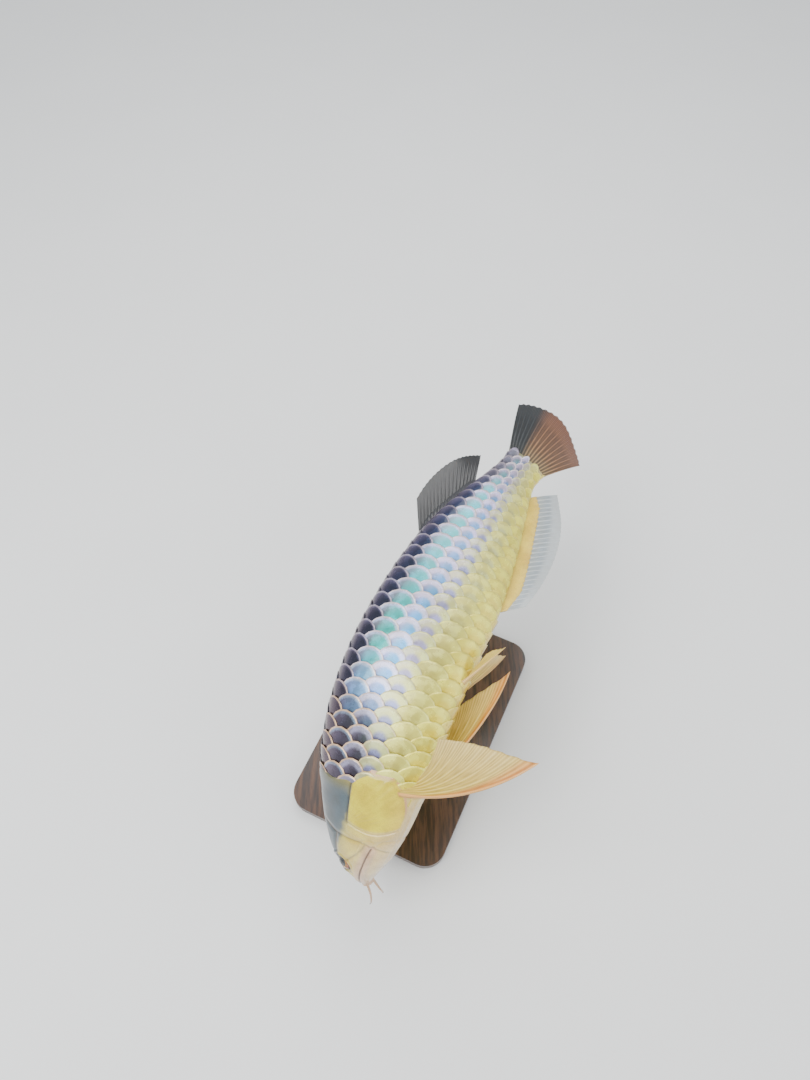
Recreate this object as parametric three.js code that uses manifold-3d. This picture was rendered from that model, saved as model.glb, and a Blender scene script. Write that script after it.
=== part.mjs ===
// Asian arowana, life size, arched on a plain display stand.
// Millimetres, +Z up. The left flank faces up, the head dips toward -Y and the tail lies toward +Y.
import * as THREE from "three";
import { mergeVertices } from "three/addons/utils/BufferGeometryUtils.js";
import Module from "manifold-3d";

const wasm = await Module();
wasm.setup();

// Driving sizes
const LENGTH = 540; // snout to the root of the tail fin
const GAP = 0.3; // clearance between neighbouring pieces
const GROW = 0.35; // how far a body is grown before it trims what grows from it

// Body outline: place along the body, back, belly and half width, all as shares of LENGTH
const PROFILE = [
  [0.0, 0.056, 0.04, 0.012],
  [0.04, 0.074, 0.0, 0.03],
  [0.09, 0.089, -0.044, 0.043],
  [0.15, 0.1, -0.082, 0.05],
  [0.22, 0.108, -0.106, 0.055],
  [0.32, 0.113, -0.121, 0.057],
  [0.45, 0.113, -0.127, 0.056],
  [0.55, 0.11, -0.125, 0.053],
  [0.64, 0.105, -0.119, 0.048],
  [0.74, 0.094, -0.101, 0.039],
  [0.84, 0.072, -0.075, 0.029],
  [0.92, 0.053, -0.052, 0.02],
  [0.96, 0.046, -0.044, 0.015],
  [1.0, 0.047, -0.047, 0.012],
  [1.05, 0.05, -0.05, 0.011],
];
const SNOUT_ROUNDING = 0.012; // share of LENGTH that the rounded snout reaches past place 0
const SIDE_POWER = 0.85; // under 1 fills the flanks out toward back and belly

// Pose: how the body bends about its middle, and how it lies
const MIDDLE = 0.5;
const BEND_SOFTNESS = 0.06; // share of the body over which the two bends blend
const BEND_FRONT = 107; // degrees per body length, left flank convex
const BEND_REAR = 38;
const DROOP_FRONT = -58; // degrees per body length, head turned toward the belly
const DROOP_REAR = -4.5;
const TWIST = -48; // degrees per body length about the spine
const YAW = -26;
const PITCH = 11.5;
const ROLL = -93.6;
const MIDDLE_HEIGHT = 214; // spine at mid body above the floor

// Scales: large plates in staggered rows
const SCALE_ROWS = 14;
const FIRST_SCALE = 0.248; // place of the first whole scale
const SCALE_PITCH = 0.028;
const SCALE_RISE = 1.3;
const RIM_BULGE_ALONG = 0.09;
const RIM_BULGE_ACROSS = 0.12;

// Head, eyes, mouth and gill covers
const HEAD_END = 0.215;
const MOUTH_LINE = [
  [-0.03, 0.058],
  [0.0, 0.051],
  [0.035, 0.028],
  [0.08, -0.003],
  [0.122, -0.03],
];
const JAW_JOINT_LINE = [
  [0.14, -0.052],
  [0.148, -0.13],
];
const LIP_WIDTH = 5;
const LIP_RISE = 1.1;
const EYE_PLACE = 0.071;
const EYE_HEIGHT = 0.05;
const EYE_RADIUS = 11.5;
const EYE_DEPTH = 8.5;
const EYE_OFFSET = 13.2;
const NOSTRILS = [
  { place: 0.012, height: 0.055, radius: 1.5 },
  { place: 0.03, height: 0.063, radius: 1.8 },
];
const GILL_TOP = 86; // degrees round the body from the back
const GILL_BOTTOM = 156;
const GILL_FRONT = 0.168;
const GILL_REACH = 0.097;
const GILL_RISE = 1.5;
const GILL_SINK = 1.3;

// Stand
const BASE_LENGTH = 300;
const BASE_WIDTH = 190;
const BASE_THICKNESS = 14;
const BASE_CORNER = 22;
const ROD_RADIUS = 5;
const FLANGE_RADIUS = 12;
const FLANGE_HEIGHT = 5;

const RAD = Math.PI / 180;

// Solids from meshes

/** Turns a closed geometry into a manifold solid with its faces pointing out. */
function toSolid(geometry) {
  const plain = geometry.clone();
  plain.deleteAttribute("normal");
  plain.deleteAttribute("uv");
  const merged = mergeVertices(plain, 1e-4);
  const position = merged.attributes.position.array;
  const index = Array.from(merged.index.array);
  const kept = [];
  let volume = 0;
  for (let i = 0; i < index.length; i += 3) {
    const [a, b, c] = index.slice(i, i + 3);
    if (a === b || b === c || a === c) continue;
    kept.push(a, b, c);
    const p = new THREE.Vector3().fromArray(position, 3 * a);
    const q = new THREE.Vector3().fromArray(position, 3 * b);
    const r = new THREE.Vector3().fromArray(position, 3 * c);
    volume += p.dot(q.cross(r));
  }
  if (volume < 0) kept.reverse();
  return new wasm.Manifold(
    new wasm.Mesh({
      numProp: 3,
      vertProperties: new Float32Array(position),
      triVerts: new Uint32Array(kept),
    })
  );
}

/** Gives a manifold solid back as a flat-shaded geometry. */
function toGeometry(solid) {
  const mesh = solid.getMesh();
  const positions = [];
  for (let i = 0; i < mesh.numVert; i += 1) {
    const start = i * mesh.numProp;
    positions.push(...mesh.vertProperties.slice(start, start + 3));
  }
  const geometry = new THREE.BufferGeometry();
  geometry.setAttribute("position", new THREE.Float32BufferAttribute(positions, 3));
  geometry.setIndex(Array.from(mesh.triVerts));
  geometry.computeVertexNormals();
  return geometry;
}

/** Splits a solid into its separate bodies, the largest first. */
function bodiesOf(solid) {
  return solid.decompose().sort((a, b) => b.volume() - a.volume());
}

/** Cuts every tool out of a solid and keeps the largest body that is left. */
function trimmed(solid, tools) {
  const left = tools.reduce((rest, tool) => rest.subtract(tool), solid);
  return bodiesOf(left)[0];
}

/** Builds an indexed geometry from a list of points and a list of faces. */
function fromFaces(points, faces) {
  const geometry = new THREE.BufferGeometry();
  const flat = points.flatMap((point) => [point.x, point.y, point.z]);
  geometry.setAttribute("position", new THREE.Float32BufferAttribute(flat, 3));
  geometry.setIndex(faces.flat());
  return geometry;
}

/** Joins rings of equal size into a closed loft, with both ends closed by fans. */
function loft(rings) {
  const count = rings[0].length;
  const points = rings.flat();
  const faces = [];
  for (let i = 0; i + 1 < rings.length; i += 1) {
    for (let j = 0; j < count; j += 1) {
      const a = i * count + j;
      const b = i * count + ((j + 1) % count);
      faces.push([a, b, b + count], [a, b + count, a + count]);
    }
  }
  const last = (rings.length - 1) * count;
  for (const [start, flip] of [[0, true], [last, false]]) {
    const centre = new THREE.Vector3();
    points.slice(start, start + count).forEach((point) => centre.add(point));
    points.push(centre.divideScalar(count));
    const hub = points.length - 1;
    for (let j = 0; j < count; j += 1) {
      const a = start + j;
      const b = start + ((j + 1) % count);
      faces.push(flip ? [b, a, hub] : [a, b, hub]);
    }
  }
  return fromFaces(points, faces);
}

/** Closes two like grids of points, one face and the other, into a thin body. */
function sheet(front, back) {
  const rows = front.length;
  const columns = front[0].length;
  const points = [...front.flat(), ...back.flat()];
  const offset = rows * columns;
  const faces = [];
  for (let i = 0; i + 1 < rows; i += 1) {
    for (let j = 0; j + 1 < columns; j += 1) {
      const a = i * columns + j;
      const [b, c, d] = [a + 1, a + columns + 1, a + columns];
      faces.push([a, b, c], [a, c, d]);
      faces.push([offset + a, offset + c, offset + b], [offset + a, offset + d, offset + c]);
    }
  }
  const rim = [];
  for (let j = 0; j < columns; j += 1) rim.push(j);
  for (let i = 1; i < rows; i += 1) rim.push(i * columns + columns - 1);
  for (let j = columns - 2; j >= 0; j -= 1) rim.push((rows - 1) * columns + j);
  for (let i = rows - 2; i > 0; i -= 1) rim.push(i * columns);
  rim.forEach((a, k) => {
    const b = rim[(k + 1) % rim.length];
    faces.push([b, a, offset + a], [b, offset + a, offset + b]);
  });
  return fromFaces(points, faces);
}

// The bent spine

const STATION_STEP = 0.002;
const STATION_START = -0.14;
const STATION_COUNT = 740;

/** Grows from 0 at place 0 with unit slope, eased over the softness. */
function eased(x) {
  return BEND_SOFTNESS * Math.log1p(Math.exp(x / BEND_SOFTNESS));
}

/** Frame of the spine at a place: left, tail and back directions of the body, as it lies. */
function spineAxes(place) {
  const x = place - MIDDLE;
  const rear = eased(x) - eased(0);
  const front = eased(0) - eased(-x);
  const side = (BEND_FRONT * front + BEND_REAR * rear) * RAD;
  const droop = (DROOP_FRONT * front + DROOP_REAR * rear) * RAD;
  const matrix = new THREE.Matrix4().makeRotationZ(YAW * RAD);
  matrix.multiply(new THREE.Matrix4().makeRotationX(PITCH * RAD));
  matrix.multiply(new THREE.Matrix4().makeRotationY(ROLL * RAD));
  matrix.multiply(new THREE.Matrix4().makeRotationZ(side));
  matrix.multiply(new THREE.Matrix4().makeRotationX(droop));
  matrix.multiply(new THREE.Matrix4().makeRotationY(-TWIST * RAD * x));
  const left = new THREE.Vector3();
  const tail = new THREE.Vector3();
  const back = new THREE.Vector3();
  matrix.extractBasis(left, tail, back);
  return { left, tail, back };
}

const stations = [];
for (let i = 0; i < STATION_COUNT; i += 1) {
  const axes = spineAxes(STATION_START + i * STATION_STEP);
  const spot = new THREE.Vector3();
  if (i > 0) {
    const before = stations[i - 1];
    const step = before.tail.clone().add(axes.tail).multiplyScalar((STATION_STEP * LENGTH) / 2);
    spot.copy(before.spot).add(step);
  }
  stations.push({ ...axes, spot });
}
const middleStation = stations[Math.round((MIDDLE - STATION_START) / STATION_STEP)].spot.clone();
stations.forEach((station) => station.spot.sub(middleStation).add(new THREE.Vector3(0, 0, MIDDLE_HEIGHT)));

/** Point of the posed body from its place along it and its offsets to the left and the back. */
function posed(place, left, back) {
  const x = (place - STATION_START) / STATION_STEP;
  const i = Math.min(Math.max(Math.floor(x), 0), STATION_COUNT - 2);
  const [a, b] = [stations[i], stations[i + 1]];
  const share = x - i;
  const point = a.spot.clone().lerp(b.spot, share);
  point.addScaledVector(a.left.clone().lerp(b.left, share), left);
  return point.addScaledVector(a.back.clone().lerp(b.back, share), back);
}

/** Matrix that carries (left, tail, back) offsets at a place into the posed body. */
function frameAt(place) {
  const { left, tail, back } = spineAxes(place);
  return new THREE.Matrix4().makeBasis(left, tail, back).setPosition(posed(place, 0, 0));
}

// Body surface

/** Smooth value of one outline column at a place along the body. */
function outline(place, column) {
  const last = PROFILE.length - 1;
  const x = Math.min(Math.max(place, PROFILE[0][0]), PROFILE[last][0]);
  let i = 0;
  while (i < last - 1 && x > PROFILE[i + 1][0]) i += 1;
  const slope = (k) => {
    const [low, high] = [Math.max(k - 1, 0), Math.min(k + 1, last)];
    return (PROFILE[high][column] - PROFILE[low][column]) / (PROFILE[high][0] - PROFILE[low][0]);
  };
  const span = PROFILE[i + 1][0] - PROFILE[i][0];
  const u = (x - PROFILE[i][0]) / span;
  const start = PROFILE[i][column];
  const end = PROFILE[i + 1][column];
  return (
    (1 + 2 * u) * (1 - u) ** 2 * start +
    u * (1 - u) ** 2 * span * slope(i) +
    u * u * (3 - 2 * u) * end +
    u * u * (u - 1) * span * slope(i + 1)
  );
}

/** How much wider the back is than the belly, most on the flat crown of the head. */
function shoulder(place) {
  return 0.1 + 0.16 * Math.exp(-(((place - 0.08) / 0.1) ** 2));
}

/** Left and back offsets, in millimetres, of the bare skin; the angle runs from the back to the left. */
function section(place, angle) {
  const back = outline(place, 1);
  const belly = outline(place, 2);
  const past = Math.min(Math.max(-place / SNOUT_ROUNDING, 0), 1);
  const shrink = Math.sqrt(1 - past * past);
  const sine = Math.sin(angle);
  const side = Math.sign(sine) * Math.abs(sine) ** SIDE_POWER * (1 + shoulder(place) * Math.cos(angle));
  return {
    left: LENGTH * outline(place, 3) * side * shrink,
    back: LENGTH * ((back + belly) / 2 + ((back - belly) / 2) * Math.cos(angle) * shrink),
  };
}

/** Offsets of a point raised off the bare skin, square to its section. */
function raised(place, angle, rise) {
  const point = section(place, angle);
  if (rise === 0) return point;
  const step = 0.02;
  const before = section(place, angle - step);
  const after = section(place, angle + step);
  const across = [after.left - before.left, after.back - before.back];
  const size = Math.hypot(...across) || 1;
  return { left: point.left - (across[1] / size) * rise, back: point.back + (across[0] / size) * rise };
}

/** Posed point of the skin. */
function skin(place, angle, rise = 0) {
  const { left, back } = raised(place, angle, rise);
  return posed(place, left, back);
}

/** Angle round the body of a scale row, with the rows spread evenly over the flank. */
function rowAngle(place, row) {
  const tall = (outline(place, 1) - outline(place, 2)) / 2;
  const wide = outline(place, 3);
  const even = (2 * Math.PI * (((row % SCALE_ROWS) + SCALE_ROWS) % SCALE_ROWS)) / SCALE_ROWS;
  return even + 0.45 * ((tall - wide) / (tall + wide)) * Math.sin(2 * even);
}

/** Place along the body of a count of scales. */
function scalePlace(count) {
  return FIRST_SCALE + SCALE_PITCH * count;
}

// Fins, as shares of LENGTH: where each base lies, how long its rays are and how they lean

const DORSAL_FIN = {
  start: 0.705,
  end: 0.875,
  rays: 16,
  length: (i) => 0.08 + 0.09 * i - 0.095 * i * i,
  angle: (i) => (34 - 3 * i - 12 * i * i) * RAD,
  lean: -0.08,
};
const ANAL_FIN = {
  start: 0.635,
  end: 0.925,
  rays: 20,
  length: (i) => 0.052 + 0.14 * i - 0.118 * i * i,
  angle: (i) => (46 - 9 * i * i) * RAD,
  lean: 0.04,
};
const TAIL_FIN = { rays: 16, middleRay: 0.185, edgeLoss: 0.055, fan: 24 * RAD, halfBase: 0.045 };
const RAY_THICKNESS = 1.9;
const WEB_THICKNESS = 0.75;
const FIN_ROWS = 4;

/** Height of the scale relief at a count of scales and a row: none in front or under a fin. */
function scaleRise(count, row) {
  const place = scalePlace(count);
  const wrapped = ((row % SCALE_ROWS) + SCALE_ROWS) % SCALE_ROWS;
  const onBack = wrapped < 0.4 || wrapped > SCALE_ROWS - 0.4;
  const onBelly = Math.abs(wrapped - SCALE_ROWS / 2) < 0.4;
  if (count < 0) return 0;
  if (onBack && place > DORSAL_FIN.start - 0.03 && place < DORSAL_FIN.end + 0.02) return 0;
  if (onBelly && place > ANAL_FIN.start - 0.03 && place < ANAL_FIN.end + 0.02) return 0;
  const tall = (outline(place, 1) - outline(place, 2)) / 2;
  return SCALE_RISE * Math.min(1, 0.35 + tall / 0.14);
}

/**
 * Closed trunk whose surface is a mesh of overlapping scales. Each scale is a diamond that rises
 * from its front corner to its rounded rear rim and steps down there to the scales behind it.
 */
function scaledTrunk(grow) {
  const firstHalf = -3;
  const lastHalf = 56;
  const points = [];
  const faces = [];
  const add = (count, row, share) => {
    const shift = grow / (LENGTH * SCALE_PITCH);
    const place = scalePlace(count + shift);
    points.push(skin(place, rowAngle(place, row), grow + share * scaleRise(count, row)));
    return points.length - 1;
  };
  const upperRim = (half, row, share) =>
    add(half / 2 + 0.25 + RIM_BULGE_ALONG, row - 0.5 - RIM_BULGE_ACROSS, share);
  const lowerRim = (half, row, share) =>
    add(half / 2 + 0.25 + RIM_BULGE_ALONG, row + 0.5 + RIM_BULGE_ACROSS, share);
  for (let row = 0; row < SCALE_ROWS; row += 1) {
    for (let half = firstHalf + ((row + firstHalf) % 2 === 0 ? 0 : 1); half <= lastHalf; half += 2) {
      const centre = add(half / 2, row, 0.6);
      const corners = [
        add(half / 2 - 0.5, row, 0),
        lowerRim(half - 1, row - 1, 0),
        add(half / 2, row - 1, 0),
        upperRim(half, row, 0.85),
        add(half / 2 + 0.5, row, 1),
        lowerRim(half, row, 0.85),
        add(half / 2, row + 1, 0),
        upperRim(half - 1, row + 1, 0),
      ];
      corners.forEach((corner, k) => faces.push([corner, corners[(k + 1) % 8], centre]));
      const tipFoot = add(half / 2 + 0.5, row, 0);
      for (const [side, rim, foot] of [
        [corners[2], corners[3], upperRim(half, row, 0)],
        [corners[6], corners[5], lowerRim(half, row, 0)],
      ]) {
        const walls = [[side, foot, rim], [rim, foot, tipFoot], [rim, tipFoot, corners[4]]];
        faces.push(...(side === corners[2] ? walls : walls.map(([a, b, c]) => [c, b, a])));
      }
    }
  }
  const open = fromFaces(points, faces);
  const merged = mergeVertices(open, 1e-4);
  return closedEnds(merged);
}

/** Closes each open loop of a surface with a fan to the loop's middle. */
function closedEnds(geometry) {
  const index = [];
  const raw = geometry.index.array;
  for (let i = 0; i < raw.length; i += 3) {
    const [a, b, c] = raw.slice(i, i + 3);
    if (a !== b && b !== c && a !== c) index.push(a, b, c);
  }
  const next = new Map();
  const edges = new Set();
  for (let i = 0; i < index.length; i += 3) {
    for (const [a, b] of [[0, 1], [1, 2], [2, 0]]) edges.add(`${index[i + a]} ${index[i + b]}`);
  }
  for (const edge of edges) {
    const [a, b] = edge.split(" ");
    if (!edges.has(`${b} ${a}`)) next.set(Number(b), Number(a));
  }
  const positions = Array.from(geometry.attributes.position.array);
  while (next.size > 0) {
    const loop = [];
    let at = next.keys().next().value;
    while (next.has(at)) {
      loop.push(at);
      const after = next.get(at);
      next.delete(at);
      at = after;
    }
    const hub = positions.length / 3;
    const centre = [0, 1, 2].map((k) => loop.reduce((sum, i) => sum + positions[3 * i + k], 0) / loop.length);
    positions.push(...centre);
    loop.forEach((a, k) => index.push(a, loop[(k + 1) % loop.length], hub));
  }
  const closed = new THREE.BufferGeometry();
  closed.setAttribute("position", new THREE.Float32BufferAttribute(positions, 3));
  closed.setIndex(index);
  return closed;
}

// Head

/** Distance in millimetres from a side-view point to a line of side-view points. */
function distanceTo(line, place, back) {
  const point = new THREE.Vector2(place * LENGTH, back);
  let nearest = Infinity;
  for (let i = 0; i + 1 < line.length; i += 1) {
    const a = new THREE.Vector2(line[i][0] * LENGTH, line[i][1] * LENGTH);
    const b = new THREE.Vector2(line[i + 1][0] * LENGTH, line[i + 1][1] * LENGTH);
    const run = b.clone().sub(a);
    const share = THREE.MathUtils.clamp(point.clone().sub(a).dot(run) / run.lengthSq(), 0, 1);
    nearest = Math.min(nearest, point.distanceTo(a.addScaledVector(run, share)));
  }
  return nearest;
}

/** Relief of the head: lips and upper jaw bone along the mouth, and the ring round the eye. */
function headRise(place, angle) {
  const { back } = section(place, angle);
  const mouth = distanceTo(MOUTH_LINE, place, back);
  const lips = LIP_RISE * Math.max(0, 1 - (mouth / LIP_WIDTH) ** 2);
  const eye = Math.hypot((place - EYE_PLACE) * LENGTH, back - EYE_HEIGHT * LENGTH);
  const ring = 1.2 * Math.max(0, 1 - ((eye - EYE_RADIUS - 1.5) / 3) ** 2);
  const cheekCentre = Math.hypot((place - 0.125) * LENGTH, back - 0.012 * LENGTH);
  const cheek = 0.9 * THREE.MathUtils.smoothstep(24 - cheekCentre, 0, 3);
  const fade = THREE.MathUtils.smoothstep(HEAD_END - place, 0, 0.02);
  return Math.max(lips, ring, cheek) * fade;
}

/** Closed head, from the rounded snout to a little past the line where the trunk begins. */
function headSolid(grow) {
  const end = HEAD_END + 0.02;
  const roundings = [1, 0.94, 0.78, 0.5].map((x) => -SNOUT_ROUNDING * x);
  const steps = 24;
  const around = 40;
  const places = [...roundings];
  for (let i = 0; i <= steps; i += 1) places.push((end * i) / steps);
  const rings = places.map((place) => {
    const ring = [];
    for (let j = 0; j < around; j += 1) {
      const angle = (2 * Math.PI * j) / around;
      const even = angle + 0.16 * Math.sin(2 * angle);
      ring.push(skin(Math.max(place, -0.9999 * SNOUT_ROUNDING), even, grow + headRise(place, even)));
    }
    return ring;
  });
  return toSolid(loft(rings));
}

/** Thin wall across the whole width of the body along a side-view line. */
function cuttingWall(line, thickness) {
  const halfWidth = 60;
  const columns = 8;
  const grids = [1, -1].map((side) =>
    line.map(([place, back], i) => {
      const before = line[Math.max(i - 1, 0)];
      const after = line[Math.min(i + 1, line.length - 1)];
      const run = new THREE.Vector2(after[0] - before[0], after[1] - before[1]).normalize();
      const along = (-side * run.y * thickness) / 2;
      const up = (side * run.x * thickness) / 2;
      const row = [];
      for (let j = 0; j <= columns; j += 1) {
        const left = halfWidth * ((2 * j) / columns - 1);
        row.push(posed(place + along / LENGTH, left, back * LENGTH + up));
      }
      return row;
    })
  );
  return toSolid(sheet(...grids));
}

/** Flat wall square to the spine. */
function crossWall(place, thickness) {
  const box = new THREE.BoxGeometry(180, thickness, 260);
  return toSolid(box.applyMatrix4(frameAt(place)));
}

/** Half of the body behind a place, as a block square to the spine. */
function endBlock(place, toTail) {
  const box = new THREE.BoxGeometry(180, 120, 260);
  box.translate(0, toTail ? 60 : -60, 0);
  return toSolid(box.applyMatrix4(frameAt(place)));
}

/** Gill cover, a broad shield with a nearly straight front and a rear edge that is fullest above its middle. */
function gillCover(side, grow, rise) {
  const rows = 10;
  const columns = 7;
  const [front, back] = [[], []];
  const margin = grow / LENGTH;
  for (let i = 0; i <= rows; i += 1) {
    const share = i / rows;
    const angleMargin = (grow / 45) * (2 * share - 1);
    const angle = (GILL_TOP + (GILL_BOTTOM - GILL_TOP) * share) * RAD + angleMargin;
    const bow = Math.sin(Math.PI * (0.2 + 0.76 * share)) ** 0.6;
    const start = GILL_FRONT - 0.012 * Math.sin(Math.PI * share) - margin;
    const end = GILL_FRONT + GILL_REACH * bow + margin;
    const [outer, inner] = [[], []];
    for (let j = 0; j <= columns; j += 1) {
      const place = start + ((end - start) * j) / columns;
      outer.push(skin(place, side * angle, rise));
      inner.push(skin(place, side * angle, -GILL_SINK - grow));
    }
    front.push(outer);
    back.push(inner);
  }
  return toSolid(sheet(front, back));
}

/** Flattened ball of an eye. */
function eyeBall(side, grow) {
  const ball = new THREE.SphereGeometry(1, 14, 9);
  ball.rotateZ(Math.PI / 2);
  ball.scale(EYE_DEPTH + grow, EYE_RADIUS + grow, EYE_RADIUS + grow);
  ball.rotateY(-side * 12 * RAD);
  ball.translate(side * EYE_OFFSET, 0, EYE_HEIGHT * LENGTH);
  return toSolid(ball.applyMatrix4(frameAt(EYE_PLACE)));
}

/** Small pit of a nostril, on the skin of the snout. */
function nostrilPit(side, nostril) {
  const belly = outline(nostril.place, 2);
  const back = outline(nostril.place, 1);
  const cosine = (2 * nostril.height - back - belly) / (back - belly);
  const spot = skin(nostril.place, side * Math.acos(THREE.MathUtils.clamp(cosine, -1, 1)), 0);
  const pit = new THREE.SphereGeometry(nostril.radius, 10, 8);
  return toSolid(pit.translate(spot.x, spot.y, spot.z));
}

// Fins and barbels

/** Half thickness of a fin: rays stand up from the web, and both thin out to the edge. */
function finHalf(column, share) {
  const full = column % 2 === 0 ? RAY_THICKNESS : WEB_THICKNESS;
  return THREE.MathUtils.lerp(full, 0.55, share) / 2;
}

/** Fin on the midline of the back or belly, with its foot sunk in the body. */
function medianFin(fin, side) {
  const columns = 2 * fin.rays - 1;
  const foot = 0.012;
  const [front, back] = [[], []];
  for (let c = 0; c < columns; c += 1) {
    const i = c / (columns - 1);
    const base = fin.start + (fin.end - fin.start) * i;
    const edge = side * outline(base, side > 0 ? 1 : 2);
    const length = fin.length(i) * (c % 2 === 0 ? 1 : 0.975);
    const [leftSide, rightSide] = [[], []];
    for (let r = 0; r <= FIN_ROWS; r += 1) {
      const share = r / FIN_ROWS;
      const reach = -foot + (length + foot) * share;
      const place = base + reach * Math.cos(fin.angle(i));
      const height = edge + reach * Math.sin(fin.angle(i));
      const left = fin.lean * Math.max(reach, 0) * LENGTH;
      const sheath = 2.2 * (1 - THREE.MathUtils.smoothstep(share, 0.08, 0.4));
      const half = finHalf(c, share) + sheath;
      leftSide.push(posed(place, left + half, side * height * LENGTH));
      rightSide.push(posed(place, left - half, side * height * LENGTH));
    }
    front.push(leftSide);
    back.push(rightSide);
  }
  return toSolid(sheet(front, back));
}

/** Rounded tail fin, fanned out from the end of the tail stalk. */
function tailFin() {
  const columns = 2 * TAIL_FIN.rays - 1;
  const [front, back] = [[], []];
  for (let c = 0; c < columns; c += 1) {
    const i = (2 * c) / (columns - 1) - 1;
    const angle = TAIL_FIN.fan * i;
    const length = (TAIL_FIN.middleRay - TAIL_FIN.edgeLoss * i * i) * (c % 2 === 0 ? 1 : 0.98);
    const [leftSide, rightSide] = [[], []];
    for (let r = 0; r <= FIN_ROWS; r += 1) {
      const share = r / FIN_ROWS;
      const place = 1 + GAP / LENGTH + length * share * Math.cos(angle);
      const height = TAIL_FIN.halfBase * i + length * share * Math.sin(angle);
      const sheath = 2.6 * (1 - THREE.MathUtils.smoothstep(share, 0, 0.35)) * (1 - 0.6 * Math.abs(i));
      const half = finHalf(c, share) + sheath;
      leftSide.push(posed(place, half, height * LENGTH));
      rightSide.push(posed(place, -half, height * LENGTH));
    }
    front.push(leftSide);
    back.push(rightSide);
  }
  return toSolid(sheet(front, back));
}

// Paired fins: root on the skin, direction of the leading ray and of the spread, in millimetres
const PECTORAL = { place: 0.246, angle: 140, length: 142, rays: 8, root: 15, shortest: 0.3, fan: 18, sweep: 10 };
const PELVIC = { place: 0.47, angle: 163, length: 54, rays: 6, root: 9, shortest: 0.6, fan: 24, sweep: 6 };

/** Paired fin: rays fan out from a short root, the leading one longest, and flex out of their plane. */
function pairedFin(fin, side, lead, spread, flex) {
  const columns = 2 * fin.rays - 1;
  const foot = 5;
  const frame = frameAt(fin.place);
  const start = raised(fin.place, side * fin.angle * RAD, 0);
  const root = new THREE.Vector3(start.left, 0, start.back);
  const along = new THREE.Vector3(side * lead[0], lead[1], lead[2]).normalize();
  const wide = new THREE.Vector3(side * spread[0], spread[1], spread[2]);
  wide.addScaledVector(along, -wide.dot(along)).normalize();
  const square = new THREE.Vector3().crossVectors(along, wide);
  const [front, back] = [[], []];
  for (let c = 0; c < columns; c += 1) {
    const i = c / (columns - 1);
    const length = fin.length * (1 - (1 - fin.shortest) * i ** 0.8) * (c % 2 === 0 ? 1 : 0.97);
    const [upper, lower] = [[], []];
    for (let r = 0; r <= FIN_ROWS; r += 1) {
      const share = r / FIN_ROWS;
      const reach = -foot + (length + foot) * share;
      const turn = (fin.fan * i + fin.sweep * (share * share - 0.9)) * RAD;
      const point = root.clone().addScaledVector(wide, fin.root * (i - 0.5));
      point.addScaledVector(along, reach * Math.cos(turn));
      point.addScaledVector(wide, reach * Math.sin(turn));
      point.addScaledVector(square, side * flex * fin.length * share * share);
      const stout = c === 0 ? 1.2 * (1 - share) : 0;
      const half = finHalf(c, share) + stout;
      upper.push(point.clone().addScaledVector(square, half).applyMatrix4(frame));
      lower.push(point.clone().addScaledVector(square, -half).applyMatrix4(frame));
    }
    front.push(upper);
    back.push(lower);
  }
  return toSolid(sheet(front, back));
}

/** Chin barbel, curving forward and up from the tip of the lower jaw. */
function barbel(side) {
  const curve = new THREE.CatmullRomCurve3([
    new THREE.Vector3(side * 3.5, 4, 23),
    new THREE.Vector3(side * 5.5, -12, 21),
    new THREE.Vector3(side * 8, -26, 26),
    new THREE.Vector3(side * 9, -36, 36),
  ]);
  const steps = 12;
  const sides = 8;
  const rings = [];
  for (let i = 0; i <= steps; i += 1) {
    const share = i / steps;
    const point = curve.getPoint(share);
    const ahead = curve.getTangent(share);
    const across = new THREE.Vector3(1, 0, 0).cross(ahead).normalize();
    const other = new THREE.Vector3().crossVectors(ahead, across);
    const radius = THREE.MathUtils.lerp(1.7, 0.5, share);
    const ring = [];
    for (let j = 0; j < sides; j += 1) {
      const angle = (2 * Math.PI * j) / sides;
      const spot = point.clone().addScaledVector(across, radius * Math.cos(angle));
      spot.addScaledVector(other, radius * Math.sin(angle));
      ring.push(posed(spot.y / LENGTH, spot.x, spot.z));
    }
    rings.push(ring);
  }
  return toSolid(loft(rings));
}

// Stand

/** Vertical rod under the body at a place, from a foot flange on the base up into the body. */
function rodUnder(place) {
  const spot = posed(place, 0, ((outline(place, 1) + outline(place, 2)) / 2) * LENGTH);
  const foot = BASE_THICKNESS + GAP;
  const profile = [
    [0, foot],
    [FLANGE_RADIUS, foot],
    [FLANGE_RADIUS, foot + FLANGE_HEIGHT - 1],
    [FLANGE_RADIUS - 1, foot + FLANGE_HEIGHT],
    [ROD_RADIUS, foot + FLANGE_HEIGHT],
    [ROD_RADIUS, spot.z],
    [0, spot.z],
  ].map(([radius, height]) => new THREE.Vector2(radius, height));
  const rod = new THREE.LatheGeometry(profile, 16);
  rod.rotateX(Math.PI / 2).translate(spot.x, spot.y, 0);
  return toSolid(rod);
}

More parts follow.
